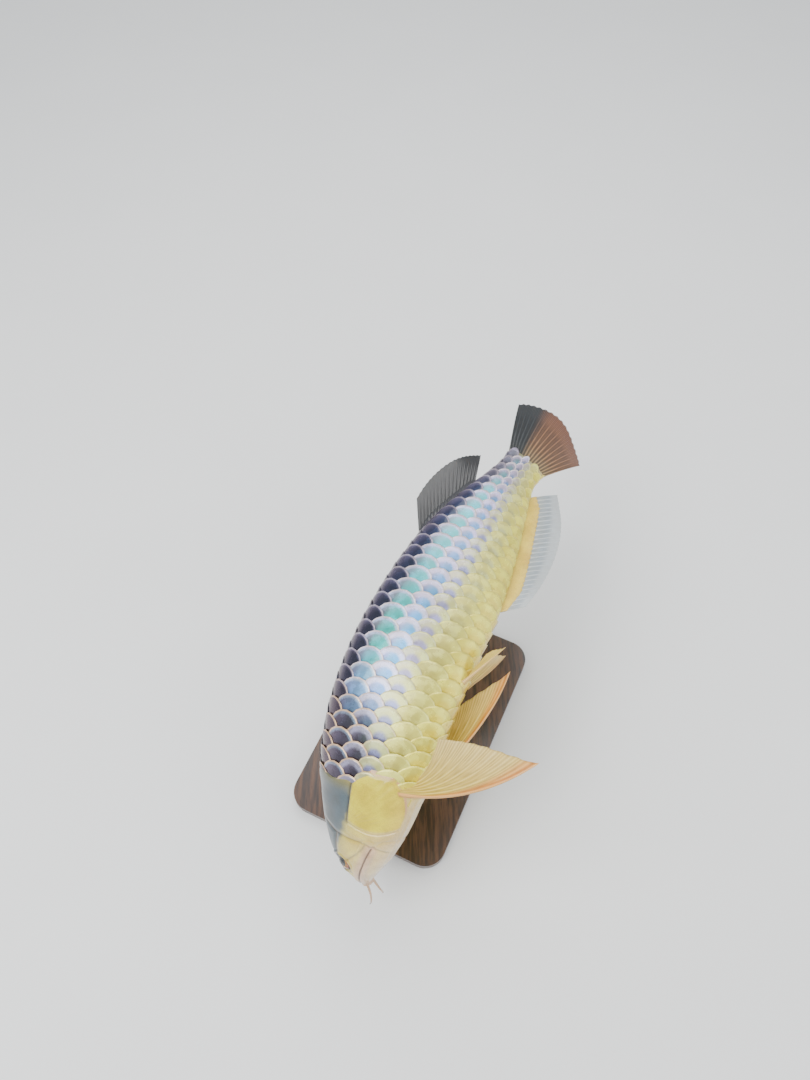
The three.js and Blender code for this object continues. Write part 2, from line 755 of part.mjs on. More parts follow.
/** Flat base with round corners and a small bevel, set under the two rods and in line with them. */
function standBase(centre, turn) {
  const shape = new THREE.Shape();
  const [x, y, r] = [BASE_WIDTH / 2 - 2, BASE_LENGTH / 2 - 2, BASE_CORNER];
  shape.moveTo(-x + r, -y);
  shape.lineTo(x - r, -y);
  shape.absarc(x - r, -y + r, r, -Math.PI / 2, 0);
  shape.lineTo(x, y - r);
  shape.absarc(x - r, y - r, r, 0, Math.PI / 2);
  shape.lineTo(-x + r, y);
  shape.absarc(-x + r, y - r, r, Math.PI / 2, Math.PI);
  shape.lineTo(-x, -y + r);
  shape.absarc(-x + r, -y + r, r, Math.PI, 1.5 * Math.PI);
  const plate = new THREE.ExtrudeGeometry(shape, {
    depth: BASE_THICKNESS - 2,
    bevelThickness: 2,
    bevelSize: 2,
    bevelSegments: 2,
    bevelOffset: 0,
    curveSegments: 4,
  });
  plate.rotateZ(turn);
  const box = new THREE.Box3().setFromBufferAttribute(plate.attributes.position);
  plate.translate(centre.x, centre.y, -box.min.z);
  const top = new THREE.BoxGeometry(2 * BASE_WIDTH, 2 * BASE_LENGTH, 10);
  top.translate(centre.x, centre.y, BASE_THICKNESS + 5);
  return toSolid(plate).subtract(toSolid(top));
}

// Assembly

const headWhole = trimmed(headSolid(0), [endBlock(HEAD_END, true)]);
const headGrown = headSolid(GROW);
const trunkWhole = toSolid(scaledTrunk(0));
const trunkGrown = toSolid(scaledTrunk(GROW));

const SIDES = [["left", 1], ["right", -1]];
const gillPockets = SIDES.map(([, side]) => gillCover(side, GROW, 9));
const eyePockets = SIDES.map(([, side]) => eyeBall(side, GAP));
const nostrilPits = SIDES.flatMap(([, side]) => NOSTRILS.map((nostril) => nostrilPit(side, nostril)));

const jawCut = cuttingWall([...MOUTH_LINE, ...JAW_JOINT_LINE], 0.5);
const [upperHead, lowerJaw] = bodiesOf(headWhole.subtract(jawCut));

const solids = new Map();
solids.set("head", trimmed(upperHead, [...eyePockets, ...gillPockets, ...nostrilPits]));
solids.set("jaw_lower", trimmed(lowerJaw, gillPockets));

const TRUNK_NODES = ["trunk_front", "trunk_middle", "trunk_rear", "tail_stalk"];
const TRUNK_CUTS = [0.44, 0.68, 0.94];
const trunkEnds = [endBlock(HEAD_END + GAP / LENGTH, false), endBlock(1, true)];
const trunkPieces = trimmed(trunkWhole, [...trunkEnds, ...gillPockets]);
const parted = TRUNK_CUTS.reduce((rest, place) => rest.subtract(crossWall(place, GAP)), trunkPieces);
const middleOf = (solid) => {
  const box = solid.boundingBox();
  return new THREE.Vector3().fromArray(box.min).add(new THREE.Vector3().fromArray(box.max)).divideScalar(2);
};
const trunkParts = bodiesOf(parted).slice(0, TRUNK_NODES.length);
trunkParts.sort((a, b) => middleOf(a).y - middleOf(b).y);
TRUNK_NODES.forEach((name, i) => solids.set(name, trunkParts[i]));

for (const [name, side] of SIDES) {
  solids.set(`eye_${name}`, eyeBall(side, 0));
  solids.set(`gill_cover_${name}`, gillCover(side, 0, GILL_RISE));
  solids.set(`barbel_${name}`, trimmed(barbel(side), [headGrown]));
}
solids.set("dorsal_fin", trimmed(medianFin(DORSAL_FIN, 1), [trunkGrown]));
solids.set("anal_fin", trimmed(medianFin(ANAL_FIN, -1), [trunkGrown]));
solids.set("caudal_fin", tailFin());

const PECTORAL_LEAD = { left: [-0.1, 0.23, -0.97], right: [0.5, 0.8, -0.33] };
const PECTORAL_SPREAD = { left: [-0.8, 0.3, 0.51], right: [0.3, 0.1, 1] };
const PECTORAL_FLEX = { left: 0.28, right: -0.06 };
const PELVIC_LEAD = { left: [0.35, 0.8, -0.48], right: [0.3, 0.86, -0.4] };
const PELVIC_SPREAD = { left: [-0.8, 0.3, 0.3], right: [-0.8, 0.3, 0.3] };
for (const [name, side] of SIDES) {
  const tools = [trunkGrown, headGrown, ...gillPockets];
  const pectoral = pairedFin(PECTORAL, side, PECTORAL_LEAD[name], PECTORAL_SPREAD[name], PECTORAL_FLEX[name]);
  const pelvic = pairedFin(PELVIC, side, PELVIC_LEAD[name], PELVIC_SPREAD[name], 0);
  solids.set(`pectoral_fin_${name}`, trimmed(pectoral, tools));
  solids.set(`pelvic_fin_${name}`, trimmed(pelvic, tools));
}

const ROD_PLACES = { stand_rod_front: 0.34, stand_rod_rear: 0.62 };
const rodSpots = Object.entries(ROD_PLACES).map(([name, place]) => {
  const rod = rodUnder(place);
  solids.set(name, trimmed(rod, [trunkGrown]));
  return middleOf(rod);
});
const rodRun = rodSpots[1].clone().sub(rodSpots[0]);
const baseCentre = rodSpots[0].clone().addScaledVector(rodRun, 0.5);
solids.set("stand_base", standBase(baseCentre, -Math.atan2(rodRun.x, rodRun.y)));

// Materials

const LOOKS = {
  flesh: { color: 0xd9cf9a, roughness: 0.35, metalness: 0 },
  scales: { color: 0xc8cfc4, roughness: 0.25, metalness: 0.35 },
  gill: { color: 0xe3cf5f, roughness: 0.3, metalness: 0.2 },
  darkFin: { color: 0x3a3d44, roughness: 0.5, metalness: 0 },
  paleFin: { color: 0xd8c489, roughness: 0.5, metalness: 0 },
  eye: { color: 0x2a2a28, roughness: 0.1, metalness: 0 },
  steel: { color: 0xb8bcc0, roughness: 0.3, metalness: 1 },
  wood: { color: 0x4a3427, roughness: 0.5, metalness: 0 },
};
const looks = Object.fromEntries(
  Object.entries(LOOKS).map(([name, look]) => [name, new THREE.MeshStandardMaterial(look)])
);

/** Material of a node from its name. */
function lookOf(name) {
  if (name === "stand_base") return looks.wood;
  if (name.startsWith("stand_")) return looks.steel;
  if (name.startsWith("eye_")) return looks.eye;
  if (name.startsWith("gill_")) return looks.gill;
  if (name.startsWith("trunk_") || name === "tail_stalk") return looks.scales;
  if (name === "dorsal_fin") return looks.darkFin;
  if (name.includes("fin")) return looks.paleFin;
  return looks.flesh;
}

const model = new THREE.Group();
const fish = new THREE.Group();
const stand = new THREE.Group();
model.add(fish, stand);
for (const [name, solid] of solids) {
  const mesh = new THREE.Mesh(toGeometry(solid), lookOf(name));
  mesh.name = name;
  (name.startsWith("stand_") ? stand : fish).add(mesh);
}

// The origin is on the floor, under the middle of the whole
const reach = new THREE.Box3().setFromObject(model);
model.position.set(-(reach.min.x + reach.max.x) / 2, -(reach.min.y + reach.max.y) / 2, -reach.min.z);

export default model;
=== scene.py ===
"""Asian arowana on a plain display stand: the surfaces that show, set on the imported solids."""

import logging
import math
from collections.abc import Sequence
from dataclasses import dataclass, field
from enum import Enum

import bpy
import numpy as np
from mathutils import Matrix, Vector


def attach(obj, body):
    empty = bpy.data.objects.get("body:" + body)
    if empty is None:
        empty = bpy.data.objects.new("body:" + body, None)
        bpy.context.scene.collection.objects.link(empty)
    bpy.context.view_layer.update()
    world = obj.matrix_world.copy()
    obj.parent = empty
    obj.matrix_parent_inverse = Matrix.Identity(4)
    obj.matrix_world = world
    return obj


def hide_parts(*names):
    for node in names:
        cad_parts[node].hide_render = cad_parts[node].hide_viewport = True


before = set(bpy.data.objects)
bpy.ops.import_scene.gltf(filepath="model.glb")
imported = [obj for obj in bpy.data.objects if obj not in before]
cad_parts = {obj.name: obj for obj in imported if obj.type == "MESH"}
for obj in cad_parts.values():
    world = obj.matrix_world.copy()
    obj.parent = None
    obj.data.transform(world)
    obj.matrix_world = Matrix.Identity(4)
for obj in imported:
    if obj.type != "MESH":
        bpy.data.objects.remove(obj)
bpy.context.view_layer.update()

LOG = logging.getLogger("arowana")

# Body offsets are in millimetres, posed points in metres, places along the body in shares of LENGTH
MM = 0.001
LENGTH = 540.0
RAD = math.pi / 180.0
SEED = 11

Array = np.ndarray
Colour = tuple[int, int, int]
Stops = tuple[tuple[float, Colour], ...]
Line = tuple[tuple[float, float], ...]
Material = bpy.types.Material
Socket = bpy.types.NodeSocket


class Side(Enum):
    """Side of the fish, by the sign of its offset to the left."""

    LEFT = 1
    RIGHT = -1

    def named(self, stem: str) -> str:
        """Returns a stem with the side's word after it."""
        return f"{stem}_{self.name.lower()}"


class Edge(Enum):
    """Columns of the body's profile, which the fins of the midline stand on too."""

    BACK = 1
    BELLY = 2
    FLANK = 3


def smoothstep(value: Array, low: float, high: float) -> Array:
    """Rises smoothly from 0 at low to 1 at high, as 3t^2 - 2t^3.

    Args:
        value: where to work it out.
        low: where the rise starts.
        high: where it ends; lower than low for a fall.

    Returns:
        The rise, between 0 and 1.
    """
    share = np.clip((value - low) / (high - low), 0.0, 1.0)
    return share * share * (3.0 - 2.0 * share)


def bell(value: Array, centre: float, width: float) -> Array:
    """Bump of height 1 about a centre: e to the minus square of the distance over the width."""
    return np.exp(-(((value - centre) / width) ** 2))


def linear(colour: Sequence[float]) -> Array:
    """Turns a display colour of 0 to 255 a channel into a linear one of 0 to 1."""
    share = np.asarray(colour, float) / 255.0
    return np.where(share <= 0.04045, share / 12.92, ((share + 0.055) / 1.055) ** 2.4)


def blended(share: Array, low: Array, high: Array) -> Array:
    """Mixes two colours by an array of shares."""
    share = np.asarray(share)[..., None]
    return low * (1.0 - share) + high * share


def along(value: Array, stops: Stops) -> Array:
    """Looks a value up in a list of display colours, each at its own stop.

    Args:
        value: what to look up.
        stops: pairs of a stop and its display colour, in rising order.

    Returns:
        Linear colours, one for each value.
    """
    places = [stop for stop, _ in stops]
    colours = np.array([linear(colour) for _, colour in stops])
    return np.stack([np.interp(value, places, colours[:, k]) for k in range(3)], axis=-1)


# Meshes


@dataclass
class Mesh:
    """Quads over points, with what each point carries and where each corner lies when unwrapped."""

    points: Array
    quads: Array
    unwrap: Array
    colours: dict[str, Array] = field(default_factory=dict)
    values: dict[str, Array] = field(default_factory=dict)

    def turn_outward(self) -> None:
        """Turns the faces over where the volume that they enclose is negative."""
        corners = self.points[self.quads]
        first = np.einsum("ij,ij->i", corners[:, 0], np.cross(corners[:, 1], corners[:, 2]))
        second = np.einsum("ij,ij->i", corners[:, 0], np.cross(corners[:, 2], corners[:, 3]))
        if first.sum() + second.sum() < 0:
            self.quads = self.quads[:, ::-1].copy()
            self.unwrap = self.unwrap[:, ::-1].copy()

    def store(self, mesh: bpy.types.Mesh) -> None:
        """Stores the unwrapped corners, and the colours and values of the points.

        Args:
            mesh: the mesh that already holds the points and the quads.
        """
        layer = mesh.uv_layers.new(name="OFBake")
        layer.data.foreach_set("uv", self.unwrap.astype(np.float32).ravel())
        for key, colour in self.colours.items():
            shade = np.concatenate([colour, np.ones((len(colour), 1))], axis=1)
            column = mesh.attributes.new(key, "FLOAT_COLOR", "POINT")
            column.data.foreach_set("color", shade.astype(np.float32).ravel())
        for key, value in self.values.items():
            column = mesh.attributes.new(key, "FLOAT", "POINT")
            column.data.foreach_set("value", value.astype(np.float32).ravel())

    def build(self, name: str, material: Material, slot: str) -> bpy.types.Object:
        """Makes the mesh an object that rides on the model.

        Args:
            name: the object's name.
            material: its material.
            slot: the record's material slot; not used.

        Returns:
            The new object.
        """
        self.turn_outward()
        mesh = bpy.data.meshes.new(name)
        mesh.vertices.add(len(self.points))
        mesh.vertices.foreach_set("co", np.ascontiguousarray(self.points, dtype=np.float32).ravel())
        mesh.loops.add(self.quads.size)
        mesh.loops.foreach_set("vertex_index", self.quads.astype(np.int32).ravel())
        mesh.polygons.add(len(self.quads))
        mesh.polygons.foreach_set("loop_start", np.arange(0, self.quads.size, 4, dtype=np.int32))
        mesh.update(calc_edges=True)
        mesh.polygons.foreach_set("use_smooth", np.ones(len(self.quads), dtype=bool))
        self.store(mesh)
        mesh.materials.append(material)
        piece = bpy.data.objects.new(name, mesh)
        bpy.context.scene.collection.objects.link(piece)
        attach(piece, "root")
        LOG.info("%s: %d quads", name, len(self.quads))
        return piece


def grid_quads(rows: int, columns: int, wrap: bool = False) -> tuple[Array, Array]:
    """Quads of a grid of points, row by row, and where their corners lie in the unit square.

    Args:
        rows: rows of points.
        columns: points in a row.
        wrap: whether each row closes on itself.

    Returns:
        The quads, and the unwrapped place of each corner.
    """
    across = columns if wrap else columns - 1
    i, j = np.meshgrid(np.arange(rows - 1), np.arange(across), indexing="ij")
    i, j = i.ravel(), j.ravel()
    steps = [(0, 0), (0, 1), (1, 1), (1, 0)]
    quads = np.stack([(i + di) * columns + (j + dj) % columns for di, dj in steps], axis=1)
    places = [((j + dj) / across, (i + di) / (rows - 1)) for di, dj in steps]
    return quads, np.stack([np.stack(place, axis=-1) for place in places], axis=1)


def tube(points: Array) -> Mesh:
    """Closed tube through rings of points, each end closed by a ladder of quads across its ring.

    Args:
        points: rings by points by 3, with an even count of points in a ring.

    Returns:
        The mesh, unwrapped along and round the tube.
    """
    rings, count = points.shape[:2]
    quads, unwrap = grid_quads(rings, count, wrap=True)
    rung = np.arange(count // 2 - 1)
    ladder = np.stack([rung, rung + 1, count - 2 - rung, count - 1 - rung], axis=1)
    caps = np.concatenate([ladder[:, ::-1], ladder + (rings - 1) * count])
    folded = np.zeros((len(caps), 4, 2))
    folded[len(ladder) :, :, 1] = 1.0
    return Mesh(points.reshape(-1, 3), np.concatenate([quads, caps]), np.concatenate([unwrap, folded]))


def thin_sheet(front: Array, back: Array) -> Mesh:
    """Closes two like grids into a thin body, one beside the other when unwrapped.

    Args:
        front: rows by columns by 3, one face.
        back: the other face.

    Returns:
        The mesh; its points are those of the front and then those of the back.
    """
    rows, columns = front.shape[:2]
    quads, unwrap = grid_quads(rows, columns)
    size = rows * columns
    index = np.arange(size).reshape(rows, columns)
    rim = np.concatenate([index[0, :-1], index[:-1, -1], index[-1, :0:-1], index[:0:-1, 0]])
    after = np.roll(rim, -1)
    walls = np.stack([after, rim, rim + size, after + size], axis=1)
    spot = np.stack([(rim % columns) / (columns - 1), (rim // columns) / (rows - 1)], axis=-1)
    next_spot = np.roll(spot, -1, axis=0)
    wall_unwrap = np.stack([next_spot, spot, spot, next_spot], axis=1)
    squeeze, beside = np.array([0.485, 1.0]), np.array([0.515, 0.0])
    return Mesh(
        np.concatenate([front.reshape(-1, 3), back.reshape(-1, 3)]),
        np.concatenate([quads, quads[:, ::-1] + size, walls]),
        np.concatenate([unwrap * squeeze, unwrap[:, ::-1] * squeeze + beside, wall_unwrap * squeeze]),
    )


# Form of the body, from the same sizes as the solids


@dataclass(frozen=True)
class Pose:
    """How the body bends about its middle and how it lies: degrees, and shares of the body."""

    middle: float = 0.5
    softness: float = 0.06
    bend_front: float = 107.0
    bend_rear: float = 38.0
    droop_front: float = -58.0
    droop_rear: float = -4.5
    twist: float = -48.0
    yaw: float = -26.0
    pitch: float = 11.5
    roll: float = -93.6
    middle_spot: tuple[float, float, float] = (-0.033074, -0.05252, 0.214)


def turn_z(angle: Array) -> Array:
    """Rotation matrices about Z, for an array of angles."""
    cosine, sine, zero = np.cos(angle), np.sin(angle), np.zeros_like(angle)
    rows = [[cosine, -sine, zero], [sine, cosine, zero], [zero, zero, zero + 1.0]]
    return np.stack([np.stack(row, axis=-1) for row in rows], axis=-2)


def turn_x(angle: Array) -> Array:
    """Rotation matrices about X, for an array of angles."""
    cosine, sine, zero = np.cos(angle), np.sin(angle), np.zeros_like(angle)
    rows = [[zero + 1.0, zero, zero], [zero, cosine, -sine], [zero, sine, cosine]]
    return np.stack([np.stack(row, axis=-1) for row in rows], axis=-2)


def turn_y(angle: Array) -> Array:
    """Rotation matrices about Y, for an array of angles."""
    cosine, sine, zero = np.cos(angle), np.sin(angle), np.zeros_like(angle)
    rows = [[cosine, zero, sine], [zero, zero + 1.0, zero], [-sine, zero, cosine]]
    return np.stack([np.stack(row, axis=-1) for row in rows], axis=-2)


@dataclass
class Spine:
    """The bent spine: a table of stations, each with its spot and its left, tail and back directions."""

    pose: Pose
    step: float = 0.002
    start: float = -0.14
    count: int = 740

    def __post_init__(self) -> None:
        """Works out the stations: each spot is one step along the mean tail direction from the last."""
        places = self.start + self.step * np.arange(self.count)
        self.turns = self.axes(places)
        tail = self.turns[:, :, 1]
        runs = (tail[1:] + tail[:-1]) * (self.step * LENGTH * MM / 2.0)
        spots = np.concatenate([np.zeros((1, 3)), np.cumsum(runs, axis=0)])
        middle = spots[round((self.pose.middle - self.start) / self.step)]
        self.spots = spots - middle + np.array(self.pose.middle_spot)

    def eased(self, beyond: Array) -> Array:
        """Distance past the middle, eased in over the softness s: s times the log of 1 + e^(x/s)."""
        softness = self.pose.softness
        return softness * np.log1p(np.exp(beyond / softness))

    def axes(self, place: Array) -> Array:
        """Rotation of the body at a place: yaw, pitch and roll, then side bend, droop and twist.

        Args:
            place: places along the body.

        Returns:
            Matrices whose columns are the left, tail and back directions.
        """
        pose = self.pose
        beyond = np.asarray(place, float) - pose.middle
        rear = self.eased(beyond) - self.eased(0.0)
        front = self.eased(0.0) - self.eased(-beyond)
        side = (pose.bend_front * front + pose.bend_rear * rear) * RAD
        droop = (pose.droop_front * front + pose.droop_rear * rear) * RAD
        twist = -pose.twist * beyond * RAD
        still = np.zeros_like(beyond)
        turn = turn_z(still + pose.yaw * RAD) @ turn_x(still + pose.pitch * RAD)
        turn = turn @ turn_y(still + pose.roll * RAD) @ turn_z(side) @ turn_x(droop)
        return turn @ turn_y(twist)

    def posed(self, place: Array, left: Array, back: Array) -> Array:
        """Posed points from places along the body and offsets to the left and the back.

        Args:
            place: places along the body.
            left: offsets to the left, in millimetres.
            back: offsets to the back, in millimetres.

        Returns:
            Points in metres, with their three coordinates last.
        """
        place, left, back = np.broadcast_arrays(place, left, back)
        spot = (place - self.start) / self.step
        low = np.clip(np.floor(spot).astype(int), 0, self.count - 2)
        share = (spot - low)[..., None]
        point = self.spots[low] * (1.0 - share) + self.spots[low + 1] * share
        turn = self.turns[low] * (1.0 - share[..., None]) + self.turns[low + 1] * share[..., None]
        return point + (turn[..., :, 0] * left[..., None] + turn[..., :, 2] * back[..., None]) * MM

    def framed(self, place: float, offsets: Array) -> Array:
        """Posed points from offsets about one place.

        Args:
            place: place along the body.
            offsets: millimetres to the left, the tail and the back, last in the array.

        Returns:
            Points in metres.
        """
        turn = self.axes(np.array(place))
        return self.posed(place, 0.0, 0.0) + (offsets @ turn.T) * MM


@dataclass
class BodyForm:
    """Outline and sections of the body, without its scales.

    Each row of the profile holds a place, the back's and the belly's offsets and the half width there.
    """

    spine: Spine
    profile: tuple[tuple[float, float, float, float], ...] = (
        (0.0, 0.056, 0.04, 0.012),
        (0.04, 0.074, 0.0, 0.03),
        (0.09, 0.089, -0.044, 0.043),
        (0.15, 0.1, -0.082, 0.05),
        (0.22, 0.108, -0.106, 0.055),
        (0.32, 0.113, -0.121, 0.057),
        (0.45, 0.113, -0.127, 0.056),
        (0.55, 0.11, -0.125, 0.053),
        (0.64, 0.105, -0.119, 0.048),
        (0.74, 0.094, -0.101, 0.039),
        (0.84, 0.072, -0.075, 0.029),
        (0.92, 0.053, -0.052, 0.02),
        (0.96, 0.046, -0.044, 0.015),
        (1.0, 0.047, -0.047, 0.012),
        (1.05, 0.05, -0.05, 0.011),
    )
    snout_rounding: float = 0.012
    side_power: float = 0.85
    scale_rows: int = 14
    first_scale: float = 0.248
    scale_pitch: float = 0.028

    def outline(self, place: Array, edge: Edge) -> Array:
        """Offset of an edge: a cubic between two rows of the profile, with slopes from their neighbours.

        Args:
            place: places along the body.
            edge: the back, the belly or the flank, which is half the width.

        Returns:
            Shares of the body's length.
        """
        table = np.array(self.profile)
        spots, values = table[:, 0], table[:, edge.value]
        last = len(spots) - 1
        x = np.clip(np.asarray(place, float), spots[0], spots[-1])
        i = np.clip(np.searchsorted(spots, x, side="left") - 1, 0, last - 1)
        order = np.arange(last + 1)
        low, high = np.maximum(order - 1, 0), np.minimum(order + 1, last)
        slope = (values[high] - values[low]) / (spots[high] - spots[low])
        span = spots[i + 1] - spots[i]
        u = (x - spots[i]) / span
        before = (1 + 2 * u) * (1 - u) ** 2 * values[i] + u * (1 - u) ** 2 * span * slope[i]
        return before + u * u * (3 - 2 * u) * values[i + 1] + u * u * (u - 1) * span * slope[i + 1]

    def section(self, place: Array, angle: Array) -> tuple[Array, Array]:
        """Section of the bare skin: a blunted ellipse, fuller toward the back and shrunk at the snout.

        Args:
            place: places along the body.
            angle: angles round it, from the back to the left.

        Returns:
            Offsets to the left and to the back, in millimetres.
        """
        top, bottom = self.outline(place, Edge.BACK), self.outline(place, Edge.BELLY)
        past = np.clip(-np.asarray(place) / self.snout_rounding, 0.0, 1.0)
        shrink = np.sqrt(1.0 - past * past)
        sine = np.sin(angle)
        shoulder = 0.1 + 0.16 * bell(place, 0.08, 0.1)
        side = np.sign(sine) * np.abs(sine) ** self.side_power * (1.0 + shoulder * np.cos(angle))
        left = LENGTH * self.outline(place, Edge.FLANK) * side * shrink
        back = LENGTH * ((top + bottom) / 2.0 + (top - bottom) / 2.0 * np.cos(angle) * shrink)
        return left, back

    def raised(self, place: Array, angle: Array, rise: Array) -> tuple[Array, Array]:
        """Section raised off the bare skin, square to it.

        Args:
            place: places along the body.
            angle: angles round it, from the back to the left.
            rise: millimetres off the skin.

        Returns:
            Offsets to the left and to the back, in millimetres.
        """
        left, back = self.section(place, angle)
        step = 0.02
        before = self.section(place, angle - step)
        after = self.section(place, angle + step)
        run, climb = after[0] - before[0], after[1] - before[1]
        size = np.maximum(np.hypot(run, climb), 1e-9)
        return left - climb / size * rise, back + run / size * rise

    def skin(self, place: Array, angle: Array, rise: Array) -> Array:
        """Posed points of the skin, raised by some millimetres."""
        left, back = self.raised(place, angle, rise)
        return self.spine.posed(place, left, back)

    def half_height(self, place: Array) -> Array:
        """Half the height of the body, as a share of its length."""
        return (self.outline(place, Edge.BACK) - self.outline(place, Edge.BELLY)) / 2.0

    def row_angle(self, place: Array, row: Array) -> Array:
        """Angle round the body of a scale row: even steps, eased so that the rows are alike in width.

        Args:
            place: places along the body.
            row: counts of rows from the ridge of the back.

        Returns:
            Angles from the back to the left.
        """
        tall = self.half_height(place)
        wide = self.outline(place, Edge.FLANK)
        even = 2.0 * math.pi * np.asarray(row) / self.scale_rows
        return even + 0.45 * (tall - wide) / (tall + wide) * np.sin(2.0 * even)

    def scale_place(self, count: Array) -> Array:
        """Place along the body of a count of scales."""
        return self.first_scale + self.scale_pitch * count


# Head


def from_back(angle: Array) -> Array:
    """Degrees from the back, the same on both sides."""
    return np.abs(np.arctan2(np.sin(angle), np.cos(angle))) / RAD


def line_distance(x: Array, z: Array, line: Line) -> tuple[Array, Array, Array]:
    """Distance from side-view points to a line.

    Args:
        x: millimetres from the snout.
        z: millimetres toward the back.
        line: the line's points, in millimetres.

    Returns:
        The distance, the side (1 above or 0 below the line), and the share of the way along it.
    """
    knots = np.array(line)
    nearest = np.full(x.shape, 1e9)
    above = np.zeros(x.shape)
    share = np.zeros(x.shape)
    runs = np.hypot(*(knots[1:] - knots[:-1]).T)
    done = np.concatenate([[0.0], np.cumsum(runs)]) / runs.sum()
    for k in range(len(knots) - 1):
        start, run = knots[k], knots[k + 1] - knots[k]
        u = np.clip(((x - start[0]) * run[0] + (z - start[1]) * run[1]) / (run @ run), 0.0, 1.0)
        gap = np.hypot(x - start[0] - u * run[0], z - start[1] - u * run[1])
        side = run[0] * (z - start[1]) - run[1] * (x - start[0]) > 0
        closer = gap < nearest
        nearest = np.where(closer, gap, nearest)
        above = np.where(closer, side, above)
        share = np.where(closer, done[k] + u * (done[k + 1] - done[k]), share)
    return nearest, above, share


@dataclass
class HeadForm:
    """Folds, bones and openings of the head, as a rise off the bare skin, in millimetres.

    The mouth, the joint of the jaw, the eye, the nostrils and the sutures lie in the side view, in
    millimetres from the snout and toward the back. The gill cover lies by degrees from the back and by
    places along the body.
    """

    mouth: Line = ((-16.2, 31.3), (0.0, 27.5), (18.9, 15.1), (43.2, -1.6), (65.9, -16.2))
    jaw_joint: Line = ((65.9, -16.2), (75.6, -28.1), (79.9, -70.0))
    eye_spot: tuple[float, float] = (38.3, 27.0)
    eye_radius: float = 10.6
    nostrils: tuple[tuple[float, float, float], ...] = ((6.5, 29.7, 1.1), (16.2, 34.2, 1.5))
    sutures: tuple[Line, ...] = (
        ((50.0, 29.0), (62.0, 26.0), (75.0, 22.0)),
        ((46.0, 15.5), (56.0, 2.0), (66.0, -8.0), (72.0, -12.0)),
        ((84.0, 43.0), (77.0, 24.0), (74.0, 8.0), (72.0, -12.0), (63.0, -30.0)),
        ((48.0, 37.5), (64.0, 42.0), (84.0, 43.0)),
        ((30.0, 18.5), (22.0, 20.0), (12.0, 24.0)),
    )
    gill_top: float = 86.0
    gill_bottom: float = 156.0
    gill_front: float = 0.168
    gill_reach: float = 0.097
    nape_end: float = 0.238

    def gill_edges(self, degrees: Array) -> tuple[Array, Array, Array]:
        """Front and rear edges of the gill cover; the rear one bows as a power of a sine.

        Args:
            degrees: angles from the back, the same on both sides.

        Returns:
            Places of the front and of the rear edge, and a share that is 1 where the cover is.
        """
        share = np.clip((degrees - self.gill_top) / (self.gill_bottom - self.gill_top), 0.0, 1.0)
        bow = np.sin(math.pi * (0.2 + 0.76 * share)) ** 0.6
        front = self.gill_front - 0.012 * np.sin(math.pi * share)
        covered = smoothstep(degrees, self.gill_top - 0.7, self.gill_top + 0.7)
        covered = covered * smoothstep(degrees, self.gill_bottom + 0.7, self.gill_bottom - 0.7)
        return front, self.gill_front + self.gill_reach * bow, covered

    def rise(self, place: Array, angle: Array, back: Array) -> Array:
        """Rise of the head's skin.

        Args:
            place: places along the body.
            angle: angles round it, from the back.
            back: offsets of the bare skin to the back, in millimetres.

        Returns:
            Millimetres off the bare skin.
        """
        x, z = place * LENGTH, back
        degrees = from_back(angle)
        near, above, share = line_distance(x, z, self.mouth)
        jaw_width = 4.2 + 6.8 * smoothstep(share, 0.1, 0.95)
        upper_jaw = 1.2 * smoothstep(jaw_width - near, -0.2, 1.1) * above
        lower_lip = 1.4 * np.sqrt(np.clip(1.0 - ((near - 2.3) / 2.5) ** 2, 0.0, 1.0)) * (1.0 - above)
        groove = 2.0 * bell(near, 0.0, 0.62)
        rise = upper_jaw + lower_lip * smoothstep(share, 1.0, 0.85) - groove
        joint = line_distance(x, z, self.jaw_joint)[0]
        rise = rise - 0.9 * bell(joint, 0.0, 1.1)
        cheek = self.suture_distance(x, z)
        plates = smoothstep(x, 34.0, 52.0) * smoothstep(x, 96.0, 82.0)
        plates = plates * smoothstep(degrees, 24.0, 44.0)
        plates = plates * (1.0 - smoothstep(jaw_width - near, -1.0, 1.0) * above)
        plates = plates * smoothstep(z, -34.0, -22.0)
        rise = rise + plates * (0.7 * smoothstep(cheek, 0.2, 4.6)) - 0.5 * bell(cheek, 0.0, 0.75)
        rise = rise + self.eye_rim(x, z) + self.nostril_rims(x, z)
        return self.with_gill_cover(rise, place, degrees) + self.throat(place, degrees)

    def suture_distance(self, x: Array, z: Array) -> Array:
        """Distance to the nearest seam between the head's bony plates, in the side view."""
        gaps = [line_distance(x, z, suture)[0] for suture in self.sutures]
        return np.min(gaps, axis=0)

    def eye_rim(self, x: Array, z: Array) -> Array:
        """Bowl behind the eye and the fleshy ring round it.

        Args:
            x: millimetres from the snout.
            z: millimetres toward the back.

        Returns:
            Their rise, in millimetres.
        """
        eye = np.hypot(x - self.eye_spot[0], z - self.eye_spot[1])
        ring = 0.9 * bell(eye, self.eye_radius + 2.0, 1.5) - 1.1 * bell(eye, self.eye_radius, 0.9)
        fold = -0.35 * bell(eye, self.eye_radius + 4.6, 0.9)
        return ring + fold - 7.0 * smoothstep(eye, self.eye_radius, self.eye_radius - 0.9)

    def nostril_rims(self, x: Array, z: Array) -> Array:
        """Pits of the nostrils, each with a low rim.

        Args:
            x: millimetres from the snout.
            z: millimetres toward the back.

        Returns:
            Their rise, in millimetres.
        """
        rise = np.zeros(x.shape)
        for spot_x, spot_z, radius in self.nostrils:
            gap = np.hypot(x - spot_x, z - spot_z)
            rise = rise + 0.6 * bell(gap, radius + 0.7, 0.6) - 2.4 * smoothstep(gap, radius, radius * 0.3)
        return rise

